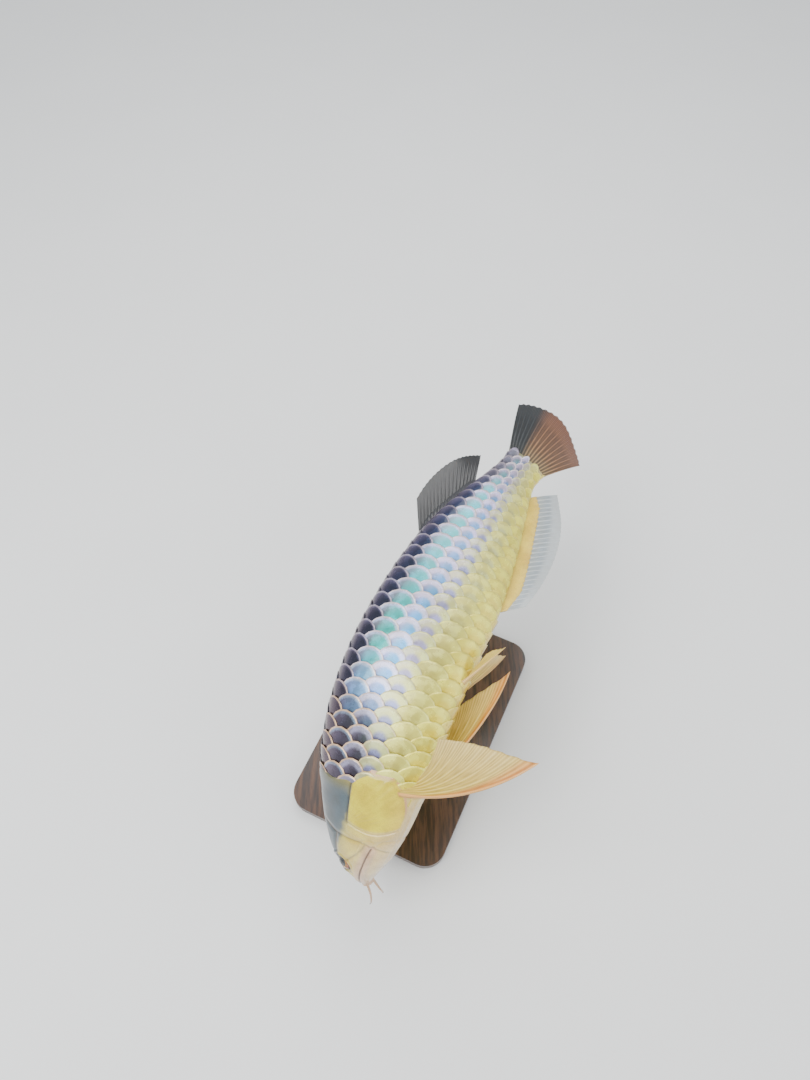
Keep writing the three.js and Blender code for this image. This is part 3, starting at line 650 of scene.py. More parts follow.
    def with_gill_cover(self, rise: Array, place: Array, degrees: Array) -> Array:
        """Adds the gill cover, its soft edge, the groove in front of it and the skin fold of the nape.

        Args:
            rise: the rise so far, in millimetres.
            place: places along the body.
            degrees: angles from the back, the same on both sides.

        Returns:
            The rise with them.
        """
        front, rear, covered = self.gill_edges(degrees)
        inside = (rear - place) * LENGTH
        behind = (place - front) * LENGTH
        plate = (0.7 + 1.2 * smoothstep(behind, 0.0, 40.0)) * smoothstep(inside, -0.5, 0.7)
        plate = plate * smoothstep(behind, -0.3, 2.5)
        fan = np.arctan2((degrees - self.gill_top) * 0.9 + 4.0, behind + 4.0)
        striae = 0.16 * np.cos(fan * 46.0) * smoothstep(behind, 4.0, 16.0)
        plate = plate + striae * smoothstep(inside, 1.0, 8.0)
        soft_edge = 0.75 * smoothstep(inside, -4.2, -3.2) * smoothstep(inside, 0.4, -0.6)
        groove = -0.6 * bell(behind, -0.6, 0.8)
        inner_bone = 0.5 * smoothstep(behind, -10.0, -8.0) * smoothstep(behind, -0.6, -2.0)
        top_seam = -0.35 * bell(degrees, self.gill_top - 1.2, 1.0)
        top_seam = top_seam * smoothstep(behind, -2.0, 3.0) * smoothstep(inside, -3.0, 0.0)
        edge = self.nape_end + 0.003 * np.cos(degrees * RAD * 9.0)
        fold = 1.5 * smoothstep(place, edge - 0.03, edge - 0.004)
        fold = fold * smoothstep(place, edge + 0.0012, edge - 0.0006) * (1.0 - covered)
        rise = rise * smoothstep(place, 0.2, 0.165)
        return rise + covered * (plate + soft_edge + groove + inner_bone) + top_seam + fold

    def throat(self, place: Array, degrees: Array) -> Array:
        """Folds of the throat: a middle groove, and ribs that fan out under the gill covers.

        Args:
            place: places along the body.
            degrees: angles from the back, the same on both sides.

        Returns:
            Their rise, in millimetres.
        """
        area = smoothstep(place, 0.06, 0.1) * smoothstep(place, 0.235, 0.22)
        area = area * smoothstep(degrees, 148.0, 156.0)
        ribs = 0.35 * np.cos((degrees - 150.0) * RAD * (34.0 + 60.0 * (place - 0.15)))
        return area * (ribs * smoothstep(degrees, 178.0, 172.0) - 0.9 * bell(degrees, 180.0, 3.0))


@dataclass
class HeadColours:
    """Markings of the skin, as display colours by angle round the body and place along it."""

    round_head: Stops = (
        (-70.0, (40, 48, 56)),
        (-34.0, (52, 66, 76)),
        (-10.0, (70, 88, 98)),
        (-3.0, (84, 98, 100)),
        (4.0, (206, 190, 92)),
        (24.0, (236, 214, 96)),
        (62.0, (238, 212, 138)),
        (112.0, (236, 214, 178)),
    )
    round_trunk: Stops = (
        (0.0, (28, 30, 36)),
        (30.0, (52, 58, 60)),
        (70.0, (160, 156, 92)),
        (180.0, (230, 206, 96)),
    )
    gill: Colour = (234, 217, 2)
    gill_low: Colour = (234, 206, 50)
    gill_edge: Colour = (232, 164, 122)
    seam: Colour = (34, 32, 34)
    crease: Colour = (120, 98, 66)
    lip: Colour = (222, 176, 158)
    mouth_line: Colour = (96, 70, 60)
    eyelid: Colour = (70, 66, 52)
    pit: Colour = (20, 20, 22)

    def tone(self, form: HeadForm, place: Array, angle: Array, back: Array) -> Array:
        """Linear colours of the skin.

        Args:
            form: the head's form.
            place: places along the body.
            angle: angles round it, from the back.
            back: offsets of the bare skin to the back, in millimetres.

        Returns:
            The colours, with their channels last.
        """
        x, z = place * LENGTH, back
        degrees = from_back(angle)
        ripple = 2.4 * np.sin(x * 0.21 + 2.0 * np.sin(degrees * 0.11))
        ripple = ripple + 1.4 * np.sin(x * 0.6 + degrees * 0.3)
        crown_end = 66.0 - 22.0 * smoothstep(x, 34.0, 0.0) + 20.0 * smoothstep(x, 46.0, 104.0)
        head = along(degrees - crown_end + 0.6 * ripple, self.round_head)
        trunk = along(degrees, self.round_trunk)
        tone = blended(smoothstep(place, 0.215, 0.25), head, trunk)
        tone = self.with_gill_cover(tone, form, place, degrees)
        return self.with_features(tone, form, x, z, degrees)

    def with_gill_cover(self, tone: Array, form: HeadForm, place: Array, degrees: Array) -> Array:
        """Gilds the gill covers, with their fleshy edge and the dark seam over them.

        Args:
            tone: the colours so far.
            form: the head's form.
            place: places along the body.
            degrees: angles from the back, the same on both sides.

        Returns:
            The colours with them.
        """
        front, rear, covered = form.gill_edges(degrees)
        inside = (rear - place) * LENGTH
        behind = (place - front) * LENGTH
        cover = smoothstep(inside, -0.6, 0.8) * smoothstep(behind, 0.0, 5.0) * covered
        low = smoothstep(degrees, 120.0, 156.0)
        gold = blended(low, linear(self.gill), linear(self.gill_low))
        tone = blended(cover * 0.92, tone, gold)
        membrane = smoothstep(inside, -4.6, -3.6) * smoothstep(inside, 0.6, -0.4) * covered
        tone = blended(0.8 * membrane, tone, linear(self.gill_edge))
        seam = bell(degrees, form.gill_top - 1.0, 1.6)
        seam = seam * smoothstep(behind, -3.0, 3.0) * smoothstep(inside, -4.0, 0.0)
        return blended(0.85 * seam, tone, linear(self.seam))

    def with_features(self, tone: Array, form: HeadForm, x: Array, z: Array, degrees: Array) -> Array:
        """Colours the lips, the creases between the plates, the nostrils and the eye sockets.

        Args:
            tone: the colours so far.
            form: the head's form.
            x: millimetres from the snout.
            z: millimetres toward the back.
            degrees: angles from the back, the same on both sides.

        Returns:
            The colours with them.
        """
        near = line_distance(x, z, form.mouth)[0]
        flush = smoothstep(near, 9.0, 2.0) * smoothstep(degrees, 20.0, 60.0) * 0.65
        tone = blended(flush, tone, linear(self.lip))
        crease = 0.5 * bell(form.suture_distance(x, z), 0.0, 1.1) * smoothstep(degrees, 16.0, 30.0)
        tone = blended(crease, tone, linear(self.crease))
        tone = blended(bell(near, 0.0, 0.8) * 0.85, tone, linear(self.mouth_line))
        for spot_x, spot_z, radius in form.nostrils:
            gap = np.hypot(x - spot_x, z - spot_z)
            tone = blended(smoothstep(gap, radius, radius * 0.4), tone, linear(self.pit))
        eye = np.hypot(x - form.eye_spot[0], z - form.eye_spot[1])
        socket = smoothstep(eye, form.eye_radius + 0.3, form.eye_radius - 0.5)
        tone = blended(0.5 * bell(eye, form.eye_radius + 1.2, 1.2), tone, linear(self.eyelid))
        return blended(socket, tone, linear(self.pit))


# Materials


class Shader:
    """A node material while it is wired."""

    def __init__(self, name: str, roughness: float, metallic: float = 0.0, coat: float = 0.0) -> None:
        """Starts a material with one surface shader.

        Args:
            name: the material's name.
            roughness: how rough the surface is.
            metallic: how metallic it is.
            coat: weight of the clear coat.
        """
        self.material = bpy.data.materials.new(name)
        self.material.use_nodes = True
        self.tree = self.material.node_tree
        self.surface = self.tree.nodes["Principled BSDF"]
        self.set("Roughness", roughness)
        self.set("Metallic", metallic)
        self.set("Coat Weight", coat)

    def set(self, socket: str, value: object) -> None:
        """Sets one of the surface shader's own sockets."""
        self.surface.inputs[socket].default_value = value

    def scatter(self, weight: float, radius: Sequence[float], scale: float) -> None:
        """Lets light into the surface, so far for red, green and blue."""
        self.set("Subsurface Weight", weight)
        self.set("Subsurface Radius", radius)
        self.set("Subsurface Scale", scale)

    def paint(self, colour: Socket) -> None:
        """Feeds the surface its colour."""
        self.feed(self.surface.inputs["Base Color"], colour)

    def roughen(self, share: Socket, low: float, high: float, span: Sequence[float]) -> None:
        """Feeds the surface its roughness: a value from low to high, mapped to a span."""
        self.feed(self.surface.inputs["Roughness"], self.spread(share, low, high, *span))

    def node(self, kind: str, **settings: object) -> bpy.types.Node:
        """Adds a node.

        Args:
            kind: the node's type.
            **settings: properties to set on it.

        Returns:
            The new node.
        """
        made = self.tree.nodes.new(kind)
        for key, value in settings.items():
            setattr(made, key, value)
        return made

    def feed(self, target: Socket, value: object) -> None:
        """Links a socket to a target, or sets a plain value on it."""
        if isinstance(value, Socket):
            self.tree.links.new(value, target)
        else:
            target.default_value = value

    def attribute(self, name: str, colour: bool = False) -> Socket:
        """Reads a value or colour that the mesh carries."""
        made = self.node("ShaderNodeAttribute", attribute_name=name)
        return made.outputs["Color" if colour else "Fac"]

    def place(self) -> Socket:
        """Object coordinates."""
        return self.node("ShaderNodeTexCoord").outputs["Object"]

    def noise(self, scale: float, detail: float, stretch: Sequence[float] = (1.0, 1.0, 1.0)) -> Socket:
        """Fractal noise on Object coordinates.

        Args:
            scale: waves in a metre.
            detail: octaves.
            stretch: factors on the three coordinates.

        Returns:
            Its value, about 0.5.
        """
        mapping = self.node("ShaderNodeMapping")
        mapping.inputs["Scale"].default_value = stretch
        self.feed(mapping.inputs["Vector"], self.place())
        made = self.node("ShaderNodeTexNoise")
        self.feed(made.inputs["Vector"], mapping.outputs["Vector"])
        made.inputs["Scale"].default_value = scale
        made.inputs["Detail"].default_value = detail
        return made.outputs["Fac"]

    def math(self, operation: str, first: object, second: object = 0.0) -> Socket:
        """Works out one operation.

        Args:
            operation: its name.
            first: a socket or number.
            second: another one, which some operations leave out.

        Returns:
            The result.
        """
        made = self.node("ShaderNodeMath", operation=operation)
        self.feed(made.inputs[0], first)
        self.feed(made.inputs[1], second)
        return made.outputs[0]

    def times(self, first: object, second: object) -> Socket:
        """Product of two values."""
        return self.math("MULTIPLY", first, second)

    def plus(self, first: object, second: object) -> Socket:
        """Sum of two values."""
        return self.math("ADD", first, second)

    def spread(
        self, value: object, low: float, high: float, start: float = 0.0, end: float = 1.0
    ) -> Socket:
        """Maps a value from one span to another, smoothly and clamped.

        Args:
            value: what to map.
            low: where the first span starts.
            high: where it ends.
            start: what low becomes.
            end: what high becomes.

        Returns:
            The mapped value.
        """
        made = self.node("ShaderNodeMapRange", interpolation_type="SMOOTHSTEP")
        self.feed(made.inputs["Value"], value)
        for key, number in (("From Min", low), ("From Max", high), ("To Min", start), ("To Max", end)):
            made.inputs[key].default_value = number
        return made.outputs["Result"]

    def mix(self, share: object, first: object, second: object, kind: str = "MIX") -> Socket:
        """Mixes two colours.

        Args:
            share: how much of the second one.
            first: a colour.
            second: the colour over it.
            kind: how they blend.

        Returns:
            The mixed colour.
        """
        made = self.node("ShaderNodeMix", data_type="RGBA", blend_type=kind)
        self.feed(made.inputs[0], share)
        self.feed(made.inputs[6], first)
        self.feed(made.inputs[7], second)
        return made.outputs[2]

    def stained(self, share: object, tone: Socket, stain: Colour) -> Socket:
        """Multiplies a colour by a stain where a share is low."""
        return self.mix(share, self.mix(1.0, tone, flat(stain), "MULTIPLY"), tone)

    def bump(self, height: Socket, depth: float, strength: float) -> None:
        """Adds a bump over the ones that are there.

        Args:
            height: its height, from 0 to 1.
            depth: millimetres for a height of 1.
            strength: how much of it counts.
        """
        made = self.node("ShaderNodeBump")
        made.inputs["Distance"].default_value = depth * MM
        made.inputs["Strength"].default_value = strength
        self.feed(made.inputs["Height"], height)
        normal = self.surface.inputs["Normal"]
        if normal.is_linked:
            self.feed(made.inputs["Normal"], normal.links[0].from_socket)
        self.feed(normal, made.outputs["Normal"])


def flat(colour: Colour) -> tuple[float, float, float, float]:
    """Display colour as a socket's value."""
    return (*linear(colour), 1.0)


@dataclass(frozen=True)
class WetSkin:
    """Wet skin of the head and the body, coloured by what the mesh carries."""

    name: str = "wet_skin"
    roughness: float = 0.34
    rough_span: tuple[float, float] = (0.28, 0.42)
    coat: float = 0.75
    coat_roughness: float = 0.07
    scatter: float = 0.12
    scatter_depth: tuple[float, float, float] = (0.9, 0.5, 0.3)
    scatter_scale: float = 0.004
    mottle: float = 55.0
    grain: float = 900.0
    pores: float = 1500.0
    stain: Colour = (230, 222, 212)
    speck: Colour = (70, 62, 44)

    def material(self) -> Material:
        """Returns the wired material."""
        shader = Shader(self.name, self.roughness, 0.0, self.coat)
        shader.set("Coat Roughness", self.coat_roughness)
        shader.scatter(self.scatter, self.scatter_depth, self.scatter_scale)
        tone = shader.attribute("tone", colour=True)
        cloud = shader.spread(shader.noise(self.mottle, 6.0), 0.35, 0.7)
        shaded = shader.stained(cloud, tone, self.stain)
        fine = shader.spread(shader.noise(self.grain, 3.0), 0.4, 0.65)
        shader.paint(shader.mix(shader.times(fine, 0.16), shaded, flat(self.speck), "MULTIPLY"))
        shader.roughen(cloud, 0.0, 1.0, self.rough_span)
        shader.bump(shader.noise(260.0, 5.0), 0.25, 0.6)
        shader.bump(shader.noise(self.pores, 3.0), 0.05, 0.7)
        return shader.material


@dataclass(frozen=True)
class PearlScale:
    """Pearly scale: a coloured core, a halo round it and a pale rim, under a thin clear film."""

    name: str = "pearl_scale"
    roughness: float = 0.24
    rough_span: tuple[float, float] = (0.2, 0.34)
    metallic: float = 0.35
    coat: float = 0.5
    coat_roughness: float = 0.08
    film: float = 380.0
    film_ior: float = 1.38
    halo_reach: tuple[float, float] = (7.5, 4.0)
    rim_reach: tuple[float, float] = (2.1, 1.2)
    ring_waves: float = 11.0
    ray_waves: float = 70.0
    # Colour of the painted iridescent sheen on each scale's rear part, on its side toward the back.
    sheen_lilac: Colour = (216, 200, 240)
    stain: Colour = (232, 226, 214)

    def material(self) -> Material:
        """Returns the wired material; edge is the distance to the rim, in millimetres."""
        shader = Shader(self.name, self.roughness, self.metallic, self.coat)
        shader.set("Coat Roughness", self.coat_roughness)
        shader.set("Thin Film Thickness", self.film)
        shader.set("Thin Film IOR", self.film_ior)
        flank = shader.attribute("flank")
        down = shader.math("MAXIMUM", shader.attribute("down"), 0.0)
        squares = shader.plus(shader.times(flank, flank), shader.times(down, down))
        inward = shader.math("SUBTRACT", 1.0, shader.math("SQRT", squares))
        edge = shader.times(shader.math("MAXIMUM", inward, 0.0), shader.attribute("radius"))
        waver = shader.times(shader.math("SUBTRACT", shader.noise(420.0, 3.0), 0.5), 2.6)
        shaded = self.tone(shader, flank, down, edge, waver)
        cloud = shader.spread(shader.noise(90.0, 5.0), 0.38, 0.66)
        shader.paint(shader.stained(cloud, shaded, self.stain))
        shader.roughen(cloud, 0.0, 1.0, self.rough_span)
        rings = shader.math("SINE", shader.times(edge, self.ring_waves))
        rays = shader.math("SINE", shader.times(flank, self.ray_waves))
        shader.bump(shader.plus(shader.times(rings, 0.6), shader.times(rays, 0.12)), 0.035, 0.8)
        shader.bump(shader.noise(340.0, 4.0), 0.16, 0.6)
        return shader.material

    def tone(self, shader: Shader, flank: Socket, down: Socket, edge: Socket, waver: Socket) -> Socket:
        """Wires the colour: core, halo and rim, with painted shade and painted sheen toward the back.

        Args:
            shader: the material.
            flank: place across the scale.
            down: place along it.
            edge: distance to the rim, in millimetres.
            waver: what makes the borders wander, in millimetres.

        Returns:
            The colour.
        """
        wandering = shader.math("DIVIDE", shader.plus(edge, waver), shader.attribute("spread"))
        halo_share = shader.spread(wandering, *self.halo_reach)
        core, shade, halo, rim = (
            shader.attribute(name, colour=True) for name in ("core", "shade", "halo", "rim")
        )
        # Painted shade: the core turns to its shade colour on the side of the scale toward the back.
        dark = shader.spread(shader.plus(flank, shader.times(waver, 0.12)), -0.15, -0.5)
        middle = shader.mix(halo_share, shader.mix(dark, core, shade), halo)
        # Painted iridescent sheen: lilac over the rear part of the scale's side toward the back.
        tilt = shader.plus(shader.math("SUBTRACT", flank, down), shader.times(waver, 0.1))
        painted_sheen = shader.times(shader.spread(tilt, -0.1, -1.2), shader.attribute("sheen_lilac"))
        middle = shader.mix(painted_sheen, middle, flat(self.sheen_lilac))
        rim_share = shader.spread(shader.plus(edge, shader.times(waver, 0.25)), *self.rim_reach)
        return shader.mix(rim_share, middle, rim)


@dataclass(frozen=True)
class FinWeb:
    """Thin fin web between rays, coloured by what the mesh carries."""

    name: str
    clear: float = 0.25
    roughness: float = 0.34
    # Web colour: partly the membrane's own tint, partly painted shade between the raised rays.
    web: Colour = (204, 210, 214)
    crest: Colour = (252, 248, 238)
    joint: Colour = (188, 172, 150)
    stain: Colour = (222, 220, 216)
    rough_span: tuple[float, float] = (0.3, 0.42)
    coat: float = 0.4
    coat_roughness: float = 0.12
    scatter: float = 0.25
    scatter_depth: tuple[float, float, float] = (1.0, 0.8, 0.6)
    scatter_scale: float = 0.002
    joint_waves: float = 3.1

    def material(self) -> Material:
        """Returns the wired material."""
        shader = Shader(self.name, self.roughness, 0.0, self.coat)
        shader.set("Coat Roughness", self.coat_roughness)
        shader.set("Transmission Weight", self.clear)
        shader.scatter(self.scatter, self.scatter_depth, self.scatter_scale)
        tone = shader.attribute("tone", colour=True)
        ray = shader.attribute("ray")
        reach = shader.attribute("reach")
        streaks = self.streaks(shader, reach)
        streak = shader.spread(streaks, 0.35, 0.68)
        # The web darkens the tone between the rays: partly its own tint, partly painted shade between the
        # rays.
        web = shader.mix(1.0, tone, flat(self.web), "MULTIPLY")
        bright = shader.mix(0.3, tone, flat(self.crest))
        shaded = shader.mix(ray, shader.stained(streak, web, self.stain), bright)
        joints = shader.spread(shader.math("SINE", shader.times(reach, self.joint_waves)), 0.8, 1.0)
        segments = shader.times(joints, ray)
        shader.paint(shader.mix(shader.times(segments, 0.3), shaded, flat(self.joint), "MULTIPLY"))
        shader.roughen(streak, 0.0, 1.0, self.rough_span)
        shader.bump(segments, 0.1, 0.7)
        shader.bump(streaks, 0.12, 0.5)
        shader.bump(shader.noise(900.0, 3.0), 0.03, 0.6)
        return shader.material

    def streaks(self, shader: Shader, reach: Socket) -> Socket:
        """Noise that runs along the rays: many waves across them and few along them."""
        along_rays = shader.node("ShaderNodeCombineXYZ")
        shader.feed(along_rays.inputs[0], shader.times(shader.attribute("across"), 4.0))
        shader.feed(along_rays.inputs[1], shader.times(reach, 0.09))
        made = shader.node("ShaderNodeTexNoise")
        made.inputs["Scale"].default_value = 1.0
        made.inputs["Detail"].default_value = 5.0
        shader.feed(made.inputs["Vector"], along_rays.outputs[0])
        return made.outputs["Fac"]


@dataclass(frozen=True)
class EyeFinish:
    """Iris and pupil, coloured by what the mesh carries."""

    name: str = "iris"
    roughness: float = 0.22
    metallic: float = 0.45
    coat: float = 0.6
    coat_roughness: float = 0.03
    fleck: Colour = (150, 120, 90)

    def material(self) -> Material:
        """Returns the wired material."""
        shader = Shader(self.name, self.roughness, self.metallic, self.coat)
        shader.set("Coat Roughness", self.coat_roughness)
        tone = shader.attribute("tone", colour=True)
        flecks = shader.spread(shader.noise(1300.0, 4.0), 0.4, 0.7)
        flecked = shader.mix(1.0, tone, flat(self.fleck), "MULTIPLY")
        shader.paint(shader.mix(flecks, tone, flecked))
        shader.bump(shader.noise(900.0, 3.0), 0.04, 0.5)
        return shader.material


@dataclass(frozen=True)
class ClearCornea:
    """Clear, wet surface of the eye."""

    name: str = "cornea"
    roughness: float = 0.015
    coat: float = 0.3
    ior: float = 1.336
    tint: Colour = (250, 250, 246)

    def material(self) -> Material:
        """Returns the wired material."""
        shader = Shader(self.name, self.roughness, 0.0, self.coat)
        shader.set("Transmission Weight", 1.0)
        shader.set("IOR", self.ior)
        shader.set("Base Color", flat(self.tint))
        shader.bump(shader.noise(300.0, 2.0), 0.01, 0.2)
        return shader.material


@dataclass(frozen=True)
class StainedWood:
    """Dark stained wood with its grain along the base."""

    name: str = "stained_wood"
    roughness: float = 0.38
    rough_span: tuple[float, float] = (0.3, 0.46)
    coat: float = 0.35
    coat_roughness: float = 0.2
    dark: Colour = (40, 25, 17)
    light: Colour = (92, 60, 38)
    pore: Colour = (26, 16, 11)

    def material(self) -> Material:
        """Returns the wired material."""
        shader = Shader(self.name, self.roughness, 0.0, self.coat)
        shader.set("Coat Roughness", self.coat_roughness)
        grain = shader.noise(38.0, 8.0, (6.0, 0.6, 6.0))
        pores = shader.noise(260.0, 4.0, (5.0, 0.25, 5.0))
        tone = shader.mix(shader.spread(grain, 0.32, 0.7), flat(self.dark), flat(self.light))
        shader.paint(shader.mix(shader.spread(pores, 0.55, 0.72), tone, flat(self.pore)))
        shader.roughen(grain, 0.3, 0.7, self.rough_span)
        shader.bump(pores, 0.08, 0.5)
        return shader.material


@dataclass(frozen=True)
class BrushedSteel:
    """Brushed steel of the rods."""

    name: str = "brushed_steel"
    roughness: float = 0.3
    rough_span: tuple[float, float] = (0.22, 0.4)
    dark: Colour = (150, 152, 156)
    light: Colour = (212, 214, 216)

    def material(self) -> Material:
        """Returns the wired material."""
        shader = Shader(self.name, self.roughness, 1.0)
        brush = shader.noise(900.0, 3.0, (1.0, 1.0, 0.04))
        shader.paint(shader.mix(brush, flat(self.dark), flat(self.light)))
        shader.roughen(brush, 0.3, 0.7, self.rough_span)
        shader.bump(brush, 0.03, 0.5)
        return shader.material


# Sub-assemblies


@dataclass
class Skin:
    """One skin over the head and the body, on which the scales lie."""

    form: BodyForm
    head: HeadForm
    colours: HeadColours
    around: int = 288
    head_rows: int = 232
    trunk_rows: int = 76
    head_end: float = 0.256
    tip_rings: tuple[float, ...] = (0.9999, 0.995, 0.98, 0.95, 0.9, 0.82, 0.72, 0.6, 0.45, 0.3, 0.15)

    def build(self, material: Material) -> bpy.types.Object:
        """Builds the skin: rings of points round the body, close together on the head.

        Args:
            material: the skin's material.

        Returns:
            The skin.
        """
        tip = -self.form.snout_rounding * np.array(self.tip_rings)
        head = np.linspace(0.0, self.head_end, self.head_rows)
        trunk = np.linspace(self.head_end, 1.0, self.trunk_rows + 1)[1:]
        places = np.concatenate([tip, head, trunk])[:, None]
        even = 2.0 * math.pi * np.arange(self.around)[None, :] / self.around
        angle = even + 0.16 * np.sin(2.0 * even)
        place, angle = np.broadcast_arrays(places, angle)
        back = self.form.section(place, angle)[1]
        rise = self.head.rise(np.maximum(place, 0.0), angle, back)
        rise = rise * smoothstep(place, -self.form.snout_rounding, -0.2 * self.form.snout_rounding)
        mesh = tube(self.form.skin(place, angle, rise))
        tone = self.colours.tone(self.head, np.maximum(place, 0.0), angle, back)
        mesh.colours["tone"] = tone.reshape(-1, 3)
        piece = mesh.build("skin", material, "head_skin")
        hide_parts("head", "jaw_lower", "gill_cover_left", "gill_cover_right")
        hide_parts("trunk_front", "trunk_middle", "trunk_rear", "tail_stalk")
        return piece


@dataclass(frozen=True)
class ScaleColours:
    """Display colours of the scales by their row, from the ridge to the keel, and by their place.

    Each scale has a core with painted shade on its side toward the back, a halo round it and a rim; rears
    are what the cores turn to toward the tail. Spreads stretch the borders between core, halo and rim,
    and sheen lilacs say how much painted iridescent sheen veils the core.
    """

    cores: tuple[Colour, ...] = (
        (20, 20, 26),
        (36, 30, 46),
        (52, 180, 176),
        (84, 170, 234),
        (164, 156, 204),
        (212, 204, 100),
        (236, 218, 66),
        (240, 216, 74),
    )
    # Painted shade: each row's core colour on the side of the scale toward the back.
    painted_shades: tuple[Colour, ...] = (
        (8, 8, 12),
        (14, 12, 20),
        (14, 76, 70),
        (72, 116, 194),
        (128, 122, 170),
        (190, 178, 76),
        (218, 196, 52),
        (222, 194, 60),
    )
    halos: tuple[Colour, ...] = (
        (34, 32, 42),
        (74, 66, 90),
        (168, 196, 232),
        (214, 214, 252),
        (224, 228, 148),
        (234, 230, 112),
        (242, 234, 94),
        (244, 224, 100),
    )
    rims: tuple[Colour, ...] = (
        (76, 72, 86),
        (172, 162, 184),
        (250, 238, 252),
        (252, 242, 254),
        (246, 246, 182),
        (248, 244, 128),
        (250, 240, 108),
        (250, 236, 112),
    )
    rears: tuple[Colour, ...] = (
        (20, 20, 28),
        (46, 44, 78),
        (92, 190, 212),
        (112, 146, 208),
        (142, 150, 202),
        (196, 200, 144),
        (236, 222, 96),
        (240, 216, 92),
    )
    spreads: tuple[float, ...] = (0.5, 0.5, 0.62, 1.05, 1.5, 1.5, 1.5, 1.5)
    # Share of painted iridescent sheen on each row's cores.
    sheen_lilacs: tuple[float, ...] = (0.0, 0.1, 0.34, 0.6, 0.45, 0.1, 0.0, 0.0)
    shoulder: Colour = (122, 152, 220)
    nape: Colour = (60, 42, 48)
    nape_rim: Colour = (230, 194, 160)
    tail: Colour = (128, 124, 138)
    blush: Colour = (206, 176, 222)
    vary: tuple[float, float] = (0.9, 1.08)


